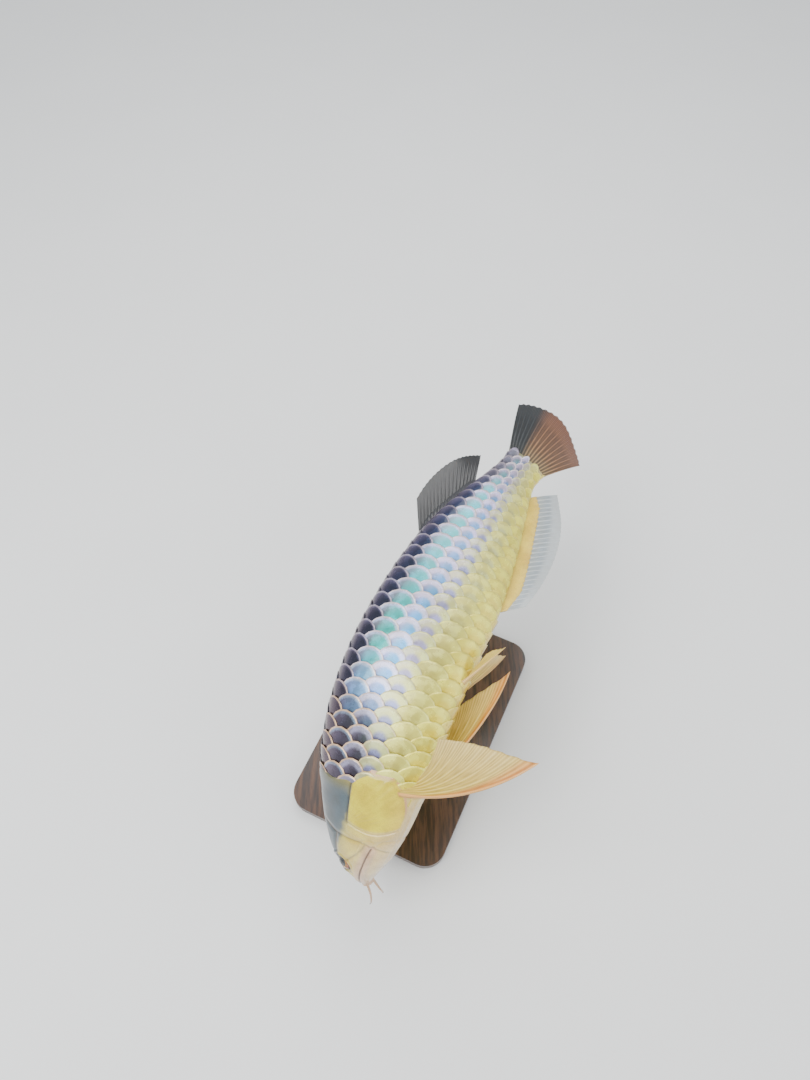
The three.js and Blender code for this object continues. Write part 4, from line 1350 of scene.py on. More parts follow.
@dataclass
class Scales:
    """Large round scales in staggered rows, each a thin plate that lies under those in front of it."""

    form: BodyForm
    head: HeadForm
    palette: ScaleColours = ScaleColours()
    middle: float = -0.56
    half_length: float = 1.13
    half_width: float = 0.83
    hidden: float = 0.24
    rise: float = 1.7
    thickness: float = 0.42
    columns: int = 9
    rows: int = 5
    last: float = 26.5
    sizes: tuple[float, float] = (0.97, 1.03)
    slants: tuple[float, float] = (-0.03, 0.03)
    lifts: tuple[float, float] = (0.9, 1.12)
    per_piece: float = 6.0
    pieces: tuple[str, ...] = ("shoulder", "front", "middle", "tail")
    dorsal_gap: tuple[float, float] = (0.722, 0.905)
    anal_gap: tuple[float, float] = (0.622, 0.935)
    under_cover: float = 0.012
    under_nape: float = 0.014
    cell_margin: float = 0.04

    def centres(self) -> tuple[Array, Array]:
        """Counts and rows of the scales, without those under the gill covers and the fin bases.

        Returns:
            Each scale's count along the body, in halves in every other row, and its row.
        """
        keel = self.form.scale_rows // 2
        halves = np.arange(-2, int(2 * self.last) + 1)
        half, row = np.meshgrid(halves, np.arange(2 * keel), indexing="ij")
        count, row = half.ravel() / 2.0, row.ravel()
        keep = (half.ravel() + row) % 2 == 0
        place = self.form.scale_place(count)
        keep &= ~((row == 0) & (place > self.dorsal_gap[0]) & (place < self.dorsal_gap[1]))
        keep &= ~((row == keel) & (place > self.anal_gap[0]) & (place < self.anal_gap[1]))
        degrees = np.abs(self.form.row_angle(place, np.where(row > keel, row - 2 * keel, row))) / RAD
        _, rear, covered = self.head.gill_edges(degrees)
        keep &= place + self.under_cover > rear * (covered > 0.5)
        keep &= place + self.under_nape > self.head.nape_end
        return count[keep], row[keep].astype(float)

    def build(self, material: Material) -> list[bpy.types.Object]:
        """Builds the scales in a few pieces, from the head to the tail.

        Args:
            material: the scales' material.

        Returns:
            The pieces.
        """
        count, row = self.centres()
        group = np.clip(((count + 0.5) // self.per_piece).astype(int), 0, len(self.pieces) - 1)
        pieces = []
        for k, name in enumerate(self.pieces):
            mesh = self.plates(count[group == k], row[group == k])
            pieces.append(mesh.build(f"scales_{name}", material, "scales"))
        return pieces

    def plates(self, count: Array, row: Array) -> Mesh:
        """Mesh of some scales: discs whose rear halves show.

        On each, a runs across from -1 to 1, and b from the hidden front edge to the rim. The rim is half
        an ellipse, and the plate climbs evenly from its front edge, so that it clears the ones it covers.

        Args:
            count: each scale's count along the body.
            row: each scale's row.

        Returns:
            The joined mesh.
        """
        draw = np.random.default_rng(SEED + int(count.sum() * 2))
        a = np.sin(np.linspace(-1.0, 1.0, self.columns) * 0.49 * math.pi)[None, None, :]
        b = (1.0 - (1.0 - np.linspace(0.0, 1.0, self.rows)) ** 1.5)[None, :, None]
        size = draw.uniform(*self.sizes, (len(count), 1, 1))
        slant = draw.uniform(*self.slants, (len(count), 1, 1))
        lift = draw.uniform(*self.lifts, (len(count), 1, 1))
        bow = np.sqrt(1.0 - a * a)
        rear = self.middle + (self.half_length * bow + slant * a) * size
        front = self.middle - 0.02 - self.hidden * bow
        x = front + (rear - front) * b
        y = self.half_width * a * size
        place = self.form.scale_place(count[:, None, None] + x)
        angle = self.form.row_angle(place, row[:, None, None] + y)
        tall = self.form.half_height(place)
        grown = np.minimum(1.0, 0.35 + tall / 0.14)
        radius = LENGTH * self.form.scale_pitch * self.half_length * np.minimum(1.0, 0.2 + tall / 0.12)
        down = (x - self.middle) / (self.half_length * size)
        edge = np.maximum(1.0 - np.hypot(a, np.maximum(down, 0.0)), 0.0) * radius
        slope = 1.25 * (x - self.middle + self.hidden) / (self.half_length + self.hidden) - 0.25
        high = self.rise * lift * slope + 0.12 * (1.0 - a * a) * b + 0.14 * bell(edge, 0.9, 0.8)
        high = (high + 0.1) * grown - 0.1 * smoothstep(edge, 0.5, 0.0)
        low = high - self.thickness * (0.35 + 0.65 * b) * grown
        top = self.form.skin(place, angle, high)
        under = self.form.skin(place, angle, low)
        flank = np.where(row > self.form.scale_rows // 2, -1.0, 1.0)[:, None, None] * a
        values = {"flank": flank, "down": down, "radius": radius}
        values = {key: np.broadcast_to(value, place.shape) for key, value in values.items()}
        return self.gathered(count, row, top, under, values)

    def gathered(
        self, count: Array, row: Array, top: Array, under: Array, values: dict[str, Array]
    ) -> Mesh:
        """Joins plates into one mesh, each in a cell of its own when unwrapped, with its colours.

        Args:
            count: each scale's count along the body.
            row: each scale's row.
            top: outer faces, scale by scale.
            under: inner faces.
            values: values that the mesh carries, for the points of one face.

        Returns:
            The joined mesh.
        """
        pieces = len(count)
        sample = thin_sheet(top[0], under[0])
        per = len(sample.points)
        points = np.concatenate([top.reshape(pieces, -1, 3), under.reshape(pieces, -1, 3)], axis=1)
        quads = (sample.quads[None] + per * np.arange(pieces)[:, None, None]).reshape(-1, 4)
        cells = np.array([2.0 * self.last + 3.0, float(self.form.scale_rows)])
        cell = (np.stack([2.0 * count + 2.0, row], axis=-1) + self.cell_margin)[:, None, None, :]
        filled = 1.0 - 2.0 * self.cell_margin
        unwrap = ((sample.unwrap[None] * filled + cell) / cells).reshape(-1, 4, 2)
        keel = self.form.scale_rows // 2
        level = np.minimum(row, 2 * keel - row).astype(int)
        both: dict[str, Array] = {}
        for key, value in values.items():
            both[key] = np.concatenate([value.reshape(pieces, -1)] * 2, axis=1).ravel()
        both["spread"] = np.repeat(np.array(self.palette.spreads)[level], per)
        # The painted iridescent sheen grows toward the tail.
        sheen_by_place = 0.3 + 0.7 * smoothstep(self.form.scale_place(count), 0.34, 0.5)
        both["sheen_lilac"] = np.repeat(np.array(self.palette.sheen_lilacs)[level] * sheen_by_place, per)
        mesh = Mesh(points.reshape(-1, 3), quads, unwrap, {}, both)
        for key, tone in self.tones(count, level).items():
            mesh.colours[key] = np.repeat(tone, per, axis=0)
        return mesh

    def tones(self, count: Array, level: Array) -> dict[str, Array]:
        """Colours of each scale: by its row, darker over the nape, bluer behind, grey on the tail stalk.

        Args:
            count: each scale's count along the body.
            level: its row from the ridge, the same on both sides.

        Returns:
            Linear colours of the cores, their sides in painted shade, the halos and the rims.
        """
        draw = np.random.default_rng(SEED + len(count))
        place = self.form.scale_place(count)
        row_height = level.astype(float)
        high = smoothstep(row_height, 4.7, 3.1)
        fore = 0.8 * smoothstep(place, 0.465, 0.4) * high * (level > 1)
        dark = 0.97 * smoothstep(place, 0.41, 0.325) * high
        grey = 0.7 * smoothstep(place, 0.84, 0.95) * smoothstep(row_height, 6.0, 3.0)
        behind = 0.7 * smoothstep(place, 0.46, 0.7)
        pink = smoothstep(place, 0.5, 0.7) * smoothstep(row_height, 4.6, 2.6) * (level > 1)
        vary = draw.uniform(*self.palette.vary, (len(count), 1))
        palette = self.palette
        tones = {}
        # The shade colours are painted shade on each scale's side toward the back.
        for key, table in (("core", palette.cores), ("shade", palette.painted_shades), ("halo", palette.halos)):
            tone = np.array([linear(colour) for colour in table])[level]
            rear = np.array([linear(colour) for colour in palette.rears])[level]
            if key == "halo":
                tone = blended(pink * 0.45, tone, linear(palette.blush))
            else:
                depth = 1.0 if key == "core" else 0.6
                tone = blended(behind, tone, rear * depth)
                tone = blended(fore, tone, linear(palette.shoulder) * depth)
            tone = blended(dark if key != "halo" else dark * 0.6, tone, linear(palette.nape))
            tail = linear(palette.tail) * (1.3 if key == "halo" else 0.8)
            tones[key] = blended(grey, tone, tail) * vary
        rim = np.array([linear(colour) for colour in palette.rims])[level]
        tones["rim"] = blended(dark * (level > 0), rim, linear(palette.nape_rim))
        return tones


@dataclass
class FinForm:
    """Rays of a fin: how many, how finely drawn, and how far they and the web stand off its middle."""

    rays: int
    rows: int = 54
    per_ray: int = 10
    ray_height: float = 0.42
    web: float = 0.3

    def parameters(self) -> tuple[Array, Array, Array]:
        """Grid of the fin.

        Returns:
            Shares of the way across the fin and along its rays, and the count of rays at each point.
        """
        i, v = unit_grid(self.rows, (self.rays - 1) * self.per_ray + 1)
        return i, v, i * (self.rays - 1)

    def ridges(self, ray: Array, v: Array) -> Array:
        """Height of the rays: each one splits in two near its middle, and in four near its tip.

        Args:
            ray: count of rays across the fin.
            v: share of the way along the rays.

        Returns:
            The height, which is 1 on a crest.
        """
        whole = np.cos(math.pi * ray) ** 2
        halves = np.sin(2.0 * math.pi * (ray + 0.25)) ** 2
        quarters = np.cos(4.0 * math.pi * ray) ** 2
        split = smoothstep(v, 0.38, 0.52)
        fine = smoothstep(v, 0.68, 0.84)
        branched = (1.0 - fine) * halves**2 * whole**0.15 + fine * quarters**1.5
        return whole**3 * (1.0 - split) + split * branched

    def half(self, ray: Array, v: Array) -> tuple[Array, Array]:
        """Half thickness of the fin.

        Args:
            ray: count of rays across the fin.
            v: share of the way along the rays.

        Returns:
            The half thickness in millimetres, and the height of the rays from 0 to 1.
        """
        crest = self.ridges(ray, v)
        thin = 1.0 - 0.55 * v
        return (self.web * thin + self.ray_height * crest * (1.0 - 0.75 * v)) + 0.02, crest

    def scallop(self, ray: Array) -> Array:
        """Length of each column against its rays': the web falls back between them."""
        return 1.0 - 0.018 * np.sin(math.pi * ray) ** 2


def unit_grid(rows: int, columns: int) -> tuple[Array, Array]:
    """Grid of the unit square: shares of the way across its columns and down its rows."""
    across = np.linspace(0.0, 1.0, columns)[None, :]
    down = np.linspace(0.0, 1.0, rows)[:, None]
    return np.broadcast_arrays(across, down)


def quadratic(terms: tuple[float, float, float], share: Array) -> Array:
    """Polynomial of a share: the first term, the second by the share, and the third by its square."""
    return terms[0] + terms[1] * share + terms[2] * share * share


def fin_mesh(
    centre: Array, square: Array, half: Array, crest: Array, ray: Array, reach: Array, tone: Array
) -> Mesh:
    """Closes a fin from its middle surface.

    Args:
        centre: posed points of the middle surface.
        square: unit directions across it.
        half: half thickness in millimetres.
        crest: ridge height from 0 to 1.
        ray: count of rays across the fin.
        reach: millimetres along the rays.
        tone: linear colours.

    Returns:
        The closed mesh with its colours and values.
    """
    shift = square * (half * MM)[..., None]
    mesh = thin_sheet(centre + shift, centre - shift)
    mesh.colours["tone"] = np.concatenate([tone.reshape(-1, 3)] * 2)
    mesh.values["ray"] = np.concatenate([crest.ravel()] * 2)
    mesh.values["across"] = np.concatenate([ray.ravel()] * 2)
    mesh.values["reach"] = np.concatenate([reach.ravel()] * 2)
    return mesh


@dataclass
class MedianFin:
    """Fin on the midline of the back or the belly, with a fleshy sheath round its base.

    The rays' length, as a share of the body, and their angle, in degrees, each follow a polynomial of
    the share of the way along the base.
    """

    name: str
    body: BodyForm
    form: FinForm
    edge: Edge
    start: float
    end: float
    length: tuple[float, float, float]
    angle: tuple[float, float, float]
    lean: float
    ripple: float
    colours: Stops
    sheath_colours: Stops
    sheath_height: float
    slot: str
    foot: float = 0.008
    sheath_columns: int = 220
    sheath_rows: int = 26

    def spots(self, i: Array, reach: Array) -> tuple[Array, Array, Array]:
        """Posed points of the fin's middle surface.

        Args:
            i: share of the way along the base, from 0 to 1.
            reach: length along the rays, as a share of the body.

        Returns:
            The points, the direction across the fin at each, and each one's share of its ray.
        """
        base = self.start + (self.end - self.start) * i
        sign = 1 if self.edge is Edge.BACK else -1
        foot = sign * self.body.outline(base, self.edge)
        length = quadratic(self.length, i)
        angle = quadratic(self.angle, i) * RAD
        share = np.maximum(reach, 0.0) / length
        place = base + reach * np.cos(angle)
        height = foot + reach * np.sin(angle)
        wave = self.ripple * share * share * np.sin(9.0 * i + 2.2 * share)
        left = self.lean * np.maximum(reach, 0.0) * LENGTH + wave
        centre = self.body.spine.posed(place, left, sign * height * LENGTH)
        return centre, self.body.spine.axes(place)[..., :, 0], share

    def build(self, web: Material, flesh: Material) -> None:
        """Builds the fin's web with its rays, and the sheath.

        Args:
            web: material of the web.
            flesh: material of the sheath.
        """
        i, v, ray = self.form.parameters()
        length = quadratic(self.length, i)
        reach = -self.foot + (length * self.form.scallop(ray) + self.foot) * v
        centre, square, share = self.spots(i, reach)
        half, crest = self.form.half(ray, v)
        tone = along(share + 0.03 * np.sin(17.0 * ray), self.colours)
        mesh = fin_mesh(centre, square, half, crest, ray, share * length * LENGTH, tone)
        piece = mesh.build(f"{self.name}_web", web, self.slot)
        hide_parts(self.name)
        self.sheath(flesh)

    def sheath(self, flesh: Material) -> None:
        """Builds the sheath: a low fold that thins toward its wavy edge and toward both ends.

        Args:
            flesh: material of the sheath.
        """
        i, v = unit_grid(self.sheath_rows, self.sheath_columns)
        wavy = np.cos(i * math.tau * (self.form.rays - 1))
        taper = np.minimum(1.0, 0.35 + 4.0 * np.minimum(i + 0.02, 1.04 - i))
        height = self.sheath_height / LENGTH * taper * (1.0 + 0.03 * wavy)
        reach = -self.foot + (height + self.foot) * v
        centre, square, _ = self.spots(i, reach)
        stout = smoothstep(np.minimum(i, 1.0 - i), -0.01, 0.06)
        half = (0.75 + 2.6 * stout * (1.0 - v) ** 0.8) * np.sqrt(np.clip((1.02 - v) / 0.1, 0.0, 1.0))
        half = half + 0.12 * wavy * smoothstep(v, 0.3, 0.9)
        tone = along(v, self.sheath_colours)
        mesh = fin_mesh(centre, square, np.maximum(half, 0.1), v, v, v, tone)
        mesh.build(f"{self.name}_sheath", flesh, self.slot)


@dataclass
class TailFin:
    """Rounded tail fin, fanned out from the end of the tail stalk."""

    body: BodyForm
    form: FinForm
    start: float = 0.994
    foot: float = 0.006
    middle_ray: float = 0.185
    edge_loss: float = 0.055
    fan: float = 24.0
    half_base: float = 0.045
    upper: Stops = ((0.0, (70, 72, 62)), (0.3, (48, 54, 54)), (1.0, (40, 46, 50)))
    lower: Stops = ((0.0, (206, 172, 104)), (0.35, (188, 134, 84)), (1.0, (160, 98, 66)))

    def build(self, material: Material) -> bpy.types.Object:
        """Builds the fin: its rays turn and shorten evenly from the middle one to the outer ones.

        Args:
            material: the fin's material.

        Returns:
            The fin.
        """
        i, v, ray = self.form.parameters()
        spread = 2.0 * i - 1.0
        angle = self.fan * spread * RAD
        length = (self.middle_ray - self.edge_loss * spread**2) * self.form.scallop(ray)
        place = self.start + (length + self.foot) * v * np.cos(angle)
        height = self.half_base * spread + length * v * np.sin(angle)
        half, crest = self.form.half(ray, v)
        half = half + 2.8 * smoothstep(v, 0.3, 0.0) * (1.0 - 0.6 * np.abs(spread))
        wave = 2.2 * v * v * np.sin(5.0 * spread + 1.5 * v)
        centre = self.body.spine.posed(place, wave, height * LENGTH)
        turn = self.body.spine.axes(place)
        tone = blended(smoothstep(spread, 0.15, 0.5), along(v, self.lower), along(v, self.upper))
        mesh = fin_mesh(centre, turn[..., :, 0], half, crest, ray, v * length * LENGTH, tone)
        piece = mesh.build("caudal_fin_web", material, "dark_fin")
        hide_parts("caudal_fin")
        return piece


@dataclass
class PairedFin:
    """Pectoral or pelvic fin: rays fan out from a short root, the leading one longest.

    Lengths are in millimetres and angles in degrees. The root lies at a place along the body and at an
    angle from the back; lead and spread point to the side, the tail and the back.
    """

    name: str
    body: BodyForm
    form: FinForm
    side: Side
    place: float
    angle: float
    length: float
    root: float
    shortest: float
    fan: float
    sweep: float
    lead: tuple[float, float, float]
    spread: tuple[float, float, float]
    flex: float
    edge_colour: Colour
    colours: Stops = ((0.0, (226, 200, 72)), (0.4, (232, 208, 92)), (1.0, (240, 208, 124)))
    foot: float = 3.0

    def build(self, material: Material) -> bpy.types.Object:
        """Builds the fin in the plane of its leading ray and its spread, with a slight cup.

        Args:
            material: the fin's material.

        Returns:
            The fin.
        """
        i, v, ray = self.form.parameters()
        sign = self.side.value
        left, back = self.body.raised(np.array(self.place), np.array(sign * self.angle * RAD), 0.0)
        root = np.array([float(left), 0.0, float(back)])
        lead = np.array([sign * self.lead[0], self.lead[1], self.lead[2]])
        lead = lead / np.linalg.norm(lead)
        wide = np.array([sign * self.spread[0], self.spread[1], self.spread[2]])
        wide = wide - wide @ lead * lead
        wide = wide / np.linalg.norm(wide)
        square = np.cross(lead, wide)
        length = self.length * (1.0 - (1.0 - self.shortest) * i**0.8) * self.form.scallop(ray)
        reach = -self.foot + (length + self.foot) * v
        turn = (self.fan * i + self.sweep * (v * v - 0.9)) * RAD
        cup = 0.05 * self.length * v * v * (i - 0.4) + 0.5 * np.sin(7.0 * i + 4.0 * v) * v
        offsets = root + wide * (self.root * (i - 0.5))[..., None]
        offsets = offsets + lead * (reach * np.cos(turn))[..., None]
        offsets = offsets + wide * (reach * np.sin(turn))[..., None]
        flexed = cup + sign * self.flex * self.length * v * v
        offsets = offsets + square * flexed[..., None]
        centre = self.body.spine.framed(self.place, offsets)
        axes = self.body.spine.axes(np.array(self.place))
        normal = np.broadcast_to(axes @ square, centre.shape)
        half, crest = self.form.half(ray, v)
        stout = smoothstep(ray, 0.9, 0.0)
        half = half + 1.15 * stout * (1.0 - v) + 0.9 * smoothstep(v, 0.22, 0.0)
        tone = blended(0.85 * stout, along(v, self.colours), linear(self.edge_colour))
        mesh = fin_mesh(centre, normal, half, crest, ray, v * length, tone)
        piece = mesh.build(f"{self.side.named(self.name)}_web", material, "pale_fin")
        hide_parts(self.side.named(self.name))
        return piece


@dataclass
class Eye:
    """Eye: a shallow iris with a bulging lens in it, behind a clear cornea."""

    body: BodyForm
    side: Side
    place: float = 0.071
    height: float = 27.0
    offset: float = 13.2
    radius: float = 11.9
    depth: float = 8.7
    gap_depth: float = 2.4
    gap_radius: float = 0.4
    lens: float = 1.5
    pupil: float = 0.45
    tilt: float = 12.0
    pole: float = 0.004
    rings: int = 64
    around: int = 96

    def angles(self) -> tuple[Array, Array]:
        """Angles from the front of the eye and round its axis, ring by ring."""
        polar = np.linspace(self.pole, math.pi - self.pole, self.rings)[:, None]
        turn = 2.0 * math.pi * np.arange(self.around)[None, :] / self.around
        return np.broadcast_arrays(polar, turn)

    def dome(self, depth: float, radius: float, bulge: float = 0.0) -> Array:
        """Rings of a flattened ball about the eye's axis, from its front to its back.

        Args:
            depth: half size along the axis.
            radius: half size across it.
            bulge: extra height of the lens at the front.

        Returns:
            Posed rings of points.
        """
        polar, turn = self.angles()
        lens = bulge * smoothstep(np.sin(polar), self.pupil, 0.0) * (np.cos(polar) > 0)
        out = depth * np.cos(polar) + lens
        across = radius * np.sin(polar)
        upward = across * np.cos(turn)
        tilt = self.tilt * RAD
        sign = self.side.value
        left = sign * (self.offset + out * math.cos(tilt) - upward * math.sin(tilt))
        back = self.height + out * math.sin(tilt) + upward * math.cos(tilt)
        return self.body.spine.framed(self.place, np.stack([left, across * np.sin(turn), back], axis=-1))

    def build(self, iris: Material, cornea: Material) -> None:
        """Builds the iris with its lens, and the cornea over them.

        Args:
            iris: material of the iris and the lens.
            cornea: material of the cornea.
        """
        ball = tube(self.dome(self.depth - self.gap_depth, self.radius - self.gap_radius, self.lens))
        ball.colours["tone"] = self.tone().reshape(-1, 3)
        inner = ball.build(self.side.named("iris"), iris, "eye")
        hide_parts(self.side.named("eye"))
        tube(self.dome(self.depth, self.radius)).build(self.side.named("cornea"), cornea, "eye")

    def tone(self) -> Array:
        """Linear colours of the iris: golden round the pupil, darker outward and along the top."""
        polar, turn = self.angles()
        outward = np.sin(polar) + 2.0 * (np.cos(polar) < 0)
        streak = 0.02 * np.sin(23.0 * turn) + 0.015 * np.sin(41.0 * turn)
        stops = (
            (0.0, (6, 6, 8)),
            (self.pupil - 0.01, (8, 8, 10)),
            (self.pupil + 0.01, (240, 196, 84)),
            (self.pupil + 0.07, (214, 146, 48)),
            (0.7, (176, 92, 34)),
            (0.84, (120, 58, 30)),
            (0.9, (46, 38, 30)),
            (1.0, (26, 24, 24)),
        )
        tone = along(outward + streak * (outward > self.pupil + 0.03), stops)
        top = smoothstep(np.cos(turn), 0.35, 0.95) * (outward > self.pupil + 0.02)
        return blended(0.7 * top, tone, linear((44, 36, 30)))


@dataclass
class Barbel:
    """Chin barbel, curving forward and up from the tip of the lower jaw."""

    body: BodyForm
    side: Side
    points: tuple = ((3.5, 4.0, 23.0), (5.5, -12.0, 21.0), (8.0, -26.0, 26.0), (9.0, -36.0, 36.0))
    thick: float = 1.75
    thin: float = 0.45
    rings: int = 80
    around: int = 24
    colours: Stops = ((0.0, (222, 190, 160)), (0.5, (206, 170, 140)), (1.0, (150, 132, 118)))

    def curve(self, share: Array) -> Array:
        """Smooth curve through the points: a cubic between two, with slopes from their neighbours.

        Args:
            share: shares of the way along it.

        Returns:
            Offsets to the left, the tail and the back, in millimetres.
        """
        knots = np.array(self.points) * np.array([self.side.value, 1.0, 1.0])
        knots = np.concatenate([[2 * knots[0] - knots[1]], knots, [2 * knots[-1] - knots[-2]]])
        spans = len(self.points) - 1
        spot = share * spans
        low = np.minimum(spot.astype(int), spans - 1)
        u = (spot - low)[:, None]
        a, b, c, d = (knots[low + k] for k in range(4))
        bend = (2 * a - 5 * b + 4 * c - d) * u**2
        swing = (3 * b - a - 3 * c + d) * u**3
        return 0.5 * (2 * b + (c - a) * u + bend + swing)

    def build(self, material: Material) -> bpy.types.Object:
        """Builds the barbel: a tapering tube along its curve.

        Args:
            material: the barbel's material.

        Returns:
            The barbel.
        """
        share = np.linspace(0.0, 1.0, self.rings)
        curve = self.curve(share)
        ahead = np.gradient(curve, axis=0)
        ahead = ahead / np.linalg.norm(ahead, axis=1, keepdims=True)
        across = np.cross([1.0, 0.0, 0.0], ahead)
        across = across / np.linalg.norm(across, axis=1, keepdims=True)
        other = np.cross(ahead, across)
        turn = (2.0 * math.pi * np.arange(self.around) / self.around)[None, :, None]
        radius = self.thick + (self.thin - self.thick) * share**0.8
        radius = radius * (1.0 + 0.035 * np.sin(share * 60.0))
        radius = radius * np.sqrt(np.clip((1.0 - share) / 0.03, 0.05, 1.0))
        ring = across[:, None] * np.cos(turn) + other[:, None] * np.sin(turn)
        points = curve[:, None] + ring * radius[:, None, None]
        mesh = tube(self.body.spine.posed(points[..., 1] / LENGTH, points[..., 0], points[..., 2]))
        mesh.colours["tone"] = np.repeat(along(share, self.colours), self.around, axis=0)
        piece = mesh.build(self.side.named("chin_barbel"), material, "head_skin")
        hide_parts(self.side.named("barbel"))
        return piece


@dataclass
class Stand:
    """Flat wooden base and two steel rods, which stay the solids that they are."""

    base: str = "stand_base"
    rods: tuple[str, ...] = ("stand_rod_front", "stand_rod_rear")

    def build(self, wood: Material, steel: Material) -> None:
        """Gives the solids their finishes.

        Args:
            wood: material of the base.
            steel: material of the rods.
        """
        for name in (self.base, *self.rods):
            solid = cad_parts[name]
            solid.data.materials.clear()
            solid.data.materials.append(wood if name == self.base else steel)
            LOG.info("%s: finished", name)


# Light, floor and camera


@dataclass
class Studio:
    """Plain pale floor, soft light, and a camera at the photo's angle."""

    photo_width: float = 810.0
    photo_height: float = 1080.0
    focal_pixels: float = 850.0
    sensor: float = 36.0
    down: float = 58.0
    middle_pixel: tuple[float, float] = (414.0, 643.6)
    distance: float = 0.875
    floor_half: float = 40.0
    floor_dark: Colour = (236, 236, 234)
    floor_light: Colour = (241, 241, 239)
    aim: tuple[float, float, float] = (0.0, 0.0, 0.2)
    lamps: tuple = (
        ("key", (-0.9, -0.5, 1.5), 1.1, 26.0),
        ("fill", (1.3, -0.6, 1.0), 1.4, 11.0),
        ("top", (0.1, 0.9, 1.7), 1.2, 17.0),
    )
    room: tuple[float, float, float, float] = (0.86, 0.9, 0.95, 1.0)
    room_strength: float = 0.95

    def camera(self, pose: Pose) -> None:
        """Sets the camera so that mid body falls on its pixel of the photo, at its distance."""
        down = self.down * RAD
        ahead = np.array([0.0, math.cos(down), -math.sin(down)])
        right = np.array([1.0, 0.0, 0.0])
        up = np.array([0.0, math.sin(down), math.cos(down)])
        across = (self.middle_pixel[0] - self.photo_width / 2.0) / self.focal_pixels
        rise = (self.photo_height / 2.0 - self.middle_pixel[1]) / self.focal_pixels
        spot = np.array(pose.middle_spot) - (ahead + right * across + up * rise) * self.distance
        data = bpy.data.cameras.new("camera")
        data.sensor_width = self.sensor
        data.lens = self.sensor * self.focal_pixels / self.photo_height
        data.clip_start = 0.01
        camera = bpy.data.objects.new("camera", data)
        camera.location = Vector(spot.tolist())
        camera.rotation_euler = (math.pi / 2.0 - down, 0.0, 0.0)
        bpy.context.scene.collection.objects.link(camera)
        bpy.context.scene.camera = camera

    def lamp(self, name: str, spot: Sequence[float], size: float, power: float) -> None:
        """Adds a soft square lamp that faces the model.

        Args:
            name: the lamp's name.
            spot: where it hangs.
            size: its side, in metres.
            power: its power, in watts.
        """
        data = bpy.data.lights.new(name, "AREA")
        data.size = size
        data.energy = power
        lamp = bpy.data.objects.new(name, data)
        lamp.location = spot
        lamp.rotation_euler = (Vector(self.aim) - Vector(spot)).to_track_quat("-Z", "Y").to_euler()
        bpy.context.scene.collection.objects.link(lamp)

    def floor(self) -> None:
        """Lays the floor, which is a stage and no part of the model."""
        half = self.floor_half
        mesh = bpy.data.meshes.new("floor")
        corners = [(-half, -half, 0.0), (half, -half, 0.0), (half, half, 0.0), (-half, half, 0.0)]
        mesh.from_pydata(corners, [], [(0, 1, 2, 3)])
        shader = Shader("pale_floor", 0.7)
        speck = shader.noise(6.0, 3.0)
        shader.paint(shader.mix(speck, flat(self.floor_dark), flat(self.floor_light)))
        mesh.materials.append(shader.material)
        floor = bpy.data.objects.new("floor", mesh)
        bpy.context.scene.collection.objects.link(floor)

    def build(self, pose: Pose) -> None:
        """Builds the floor, the lamps, the light of the room and the camera."""
        self.floor()
        for name, spot, size, power in self.lamps:
            self.lamp(name, spot, size, power)
        world = bpy.data.worlds.new("soft_room")
        world.use_nodes = True
        background = world.node_tree.nodes["Background"]
        background.inputs["Color"].default_value = self.room
        background.inputs["Strength"].default_value = self.room_strength
        bpy.context.scene.world = world
        self.camera(pose)


# The fins of this fish


def dorsal_fin(body: BodyForm) -> MedianFin:
    """Dorsal fin: dark, far back, and spread."""
    return MedianFin(
        name="dorsal_fin",
        body=body,
        form=FinForm(18),
        edge=Edge.BACK,
        start=0.705,
        end=0.875,
        length=(0.08, 0.09, -0.095),
        angle=(34.0, -3.0, -12.0),
        lean=-0.08,
        ripple=1.6,
        colours=((0.0, (8, 9, 11)), (0.5, (13, 14, 17)), (1.0, (28, 30, 34))),
        sheath_colours=((0.0, (30, 30, 36)), (1.0, (36, 36, 42))),
        sheath_height=8.0,
        slot="dark_fin",
    )


def anal_fin(body: BodyForm) -> MedianFin:
    """Anal fin: long and pale, with a yellow sheath."""
    return MedianFin(
        name="anal_fin",
        body=body,
        form=FinForm(26, per_ray=8),
        edge=Edge.BELLY,
        start=0.635,
        end=0.925,
        length=(0.052, 0.14, -0.118),
        angle=(46.0, 0.0, -9.0),
        lean=0.04,
        ripple=1.6,
        colours=(
            (0.0, (236, 218, 160)),
            (0.35, (214, 218, 212)),
            (0.6, (206, 216, 222)),
            (1.0, (218, 224, 226)),
        ),
        sheath_colours=((0.0, (232, 206, 60)), (0.6, (246, 214, 78)), (1.0, (238, 204, 96))),
        sheath_height=17.0,
        slot="pale_fin",
    )


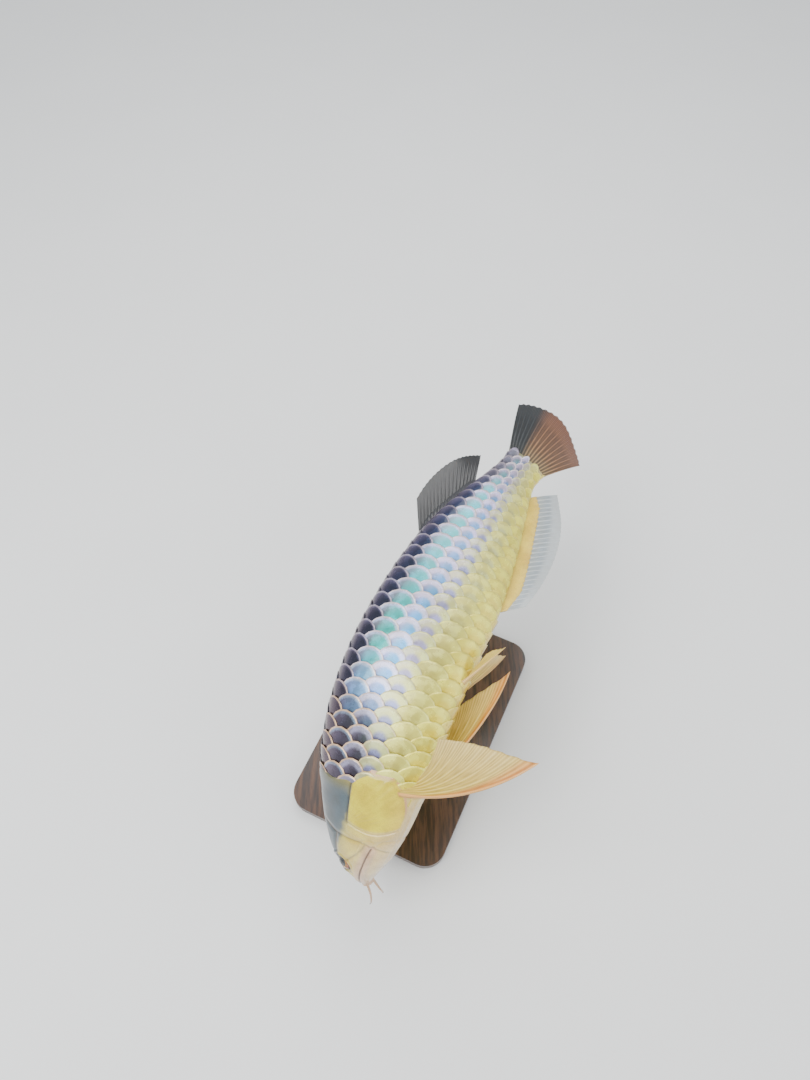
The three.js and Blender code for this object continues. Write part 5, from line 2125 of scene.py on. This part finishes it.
def pectoral_fin(body: BodyForm, side: Side) -> PairedFin:
    """Pectoral fin: the left one is held down and away, the right one lies back along the body."""
    left = side is Side.LEFT
    return PairedFin(
        name="pectoral_fin",
        body=body,
        form=FinForm(8, per_ray=16),
        side=side,
        place=0.246,
        angle=140.0,
        length=142.0,
        root=15.0,
        shortest=0.3,
        fan=18.0,
        sweep=10.0,
        lead=(-0.1, 0.23, -0.97) if left else (0.5, 0.8, -0.33),
        spread=(-0.8, 0.3, 0.51) if left else (0.3, 0.1, 1.0),
        flex=0.28 if left else -0.06,
        edge_colour=(240, 142, 40),
    )


def pelvic_fin(body: BodyForm, side: Side) -> PairedFin:
    """Pelvic fin: short, and held back along the belly."""
    return PairedFin(
        name="pelvic_fin",
        body=body,
        form=FinForm(6, per_ray=14),
        side=side,
        place=0.47,
        angle=163.0,
        length=54.0,
        root=9.0,
        shortest=0.6,
        fan=24.0,
        sweep=6.0,
        lead=(0.35, 0.8, -0.48) if side is Side.LEFT else (0.3, 0.86, -0.4),
        spread=(-0.8, 0.3, 0.3),
        flex=0.0,
        edge_colour=(220, 170, 90),
    )


def dark_fin_web() -> FinWeb:
    """Finish of the dark fins: satin, and nearly opaque."""
    return FinWeb(
        name="dark_web",
        clear=0.05,
        roughness=0.24,
        # Web colour of the dark fins, partly painted shade between the rays.
        web=(124, 128, 134),
        crest=(56, 54, 52),
        joint=(130, 130, 130),
    )


def main() -> None:
    """Builds every piece, from the camera to the stand."""
    logging.basicConfig(level=logging.INFO, format="%(message)s")
    pose = Pose()
    body = BodyForm(Spine(pose))
    head = HeadForm()
    Studio().build(pose)
    skin = WetSkin().material()
    pearl = PearlScale().material()
    dark_web = dark_fin_web().material()
    pale_web = FinWeb("pale_web", clear=0.28).material()
    # The golden web colour is partly painted shade between the rays.
    golden_web = FinWeb("golden_web", clear=0.08, web=(226, 216, 190), crest=(255, 226, 150)).material()
    iris = EyeFinish().material()
    cornea = ClearCornea().material()
    Skin(body, head, HeadColours()).build(skin)
    Scales(body, head).build(pearl)
    dorsal_fin(body).build(dark_web, skin)
    anal_fin(body).build(pale_web, skin)
    TailFin(body, FinForm(17)).build(dark_web)
    for side in Side:
        pectoral_fin(body, side).build(golden_web)
        pelvic_fin(body, side).build(golden_web)
        Eye(body, side).build(iris, cornea)
        Barbel(body, side).build(skin)
    Stand().build(StainedWood().material(), BrushedSteel().material())


if __name__ == "__main__":
    main()
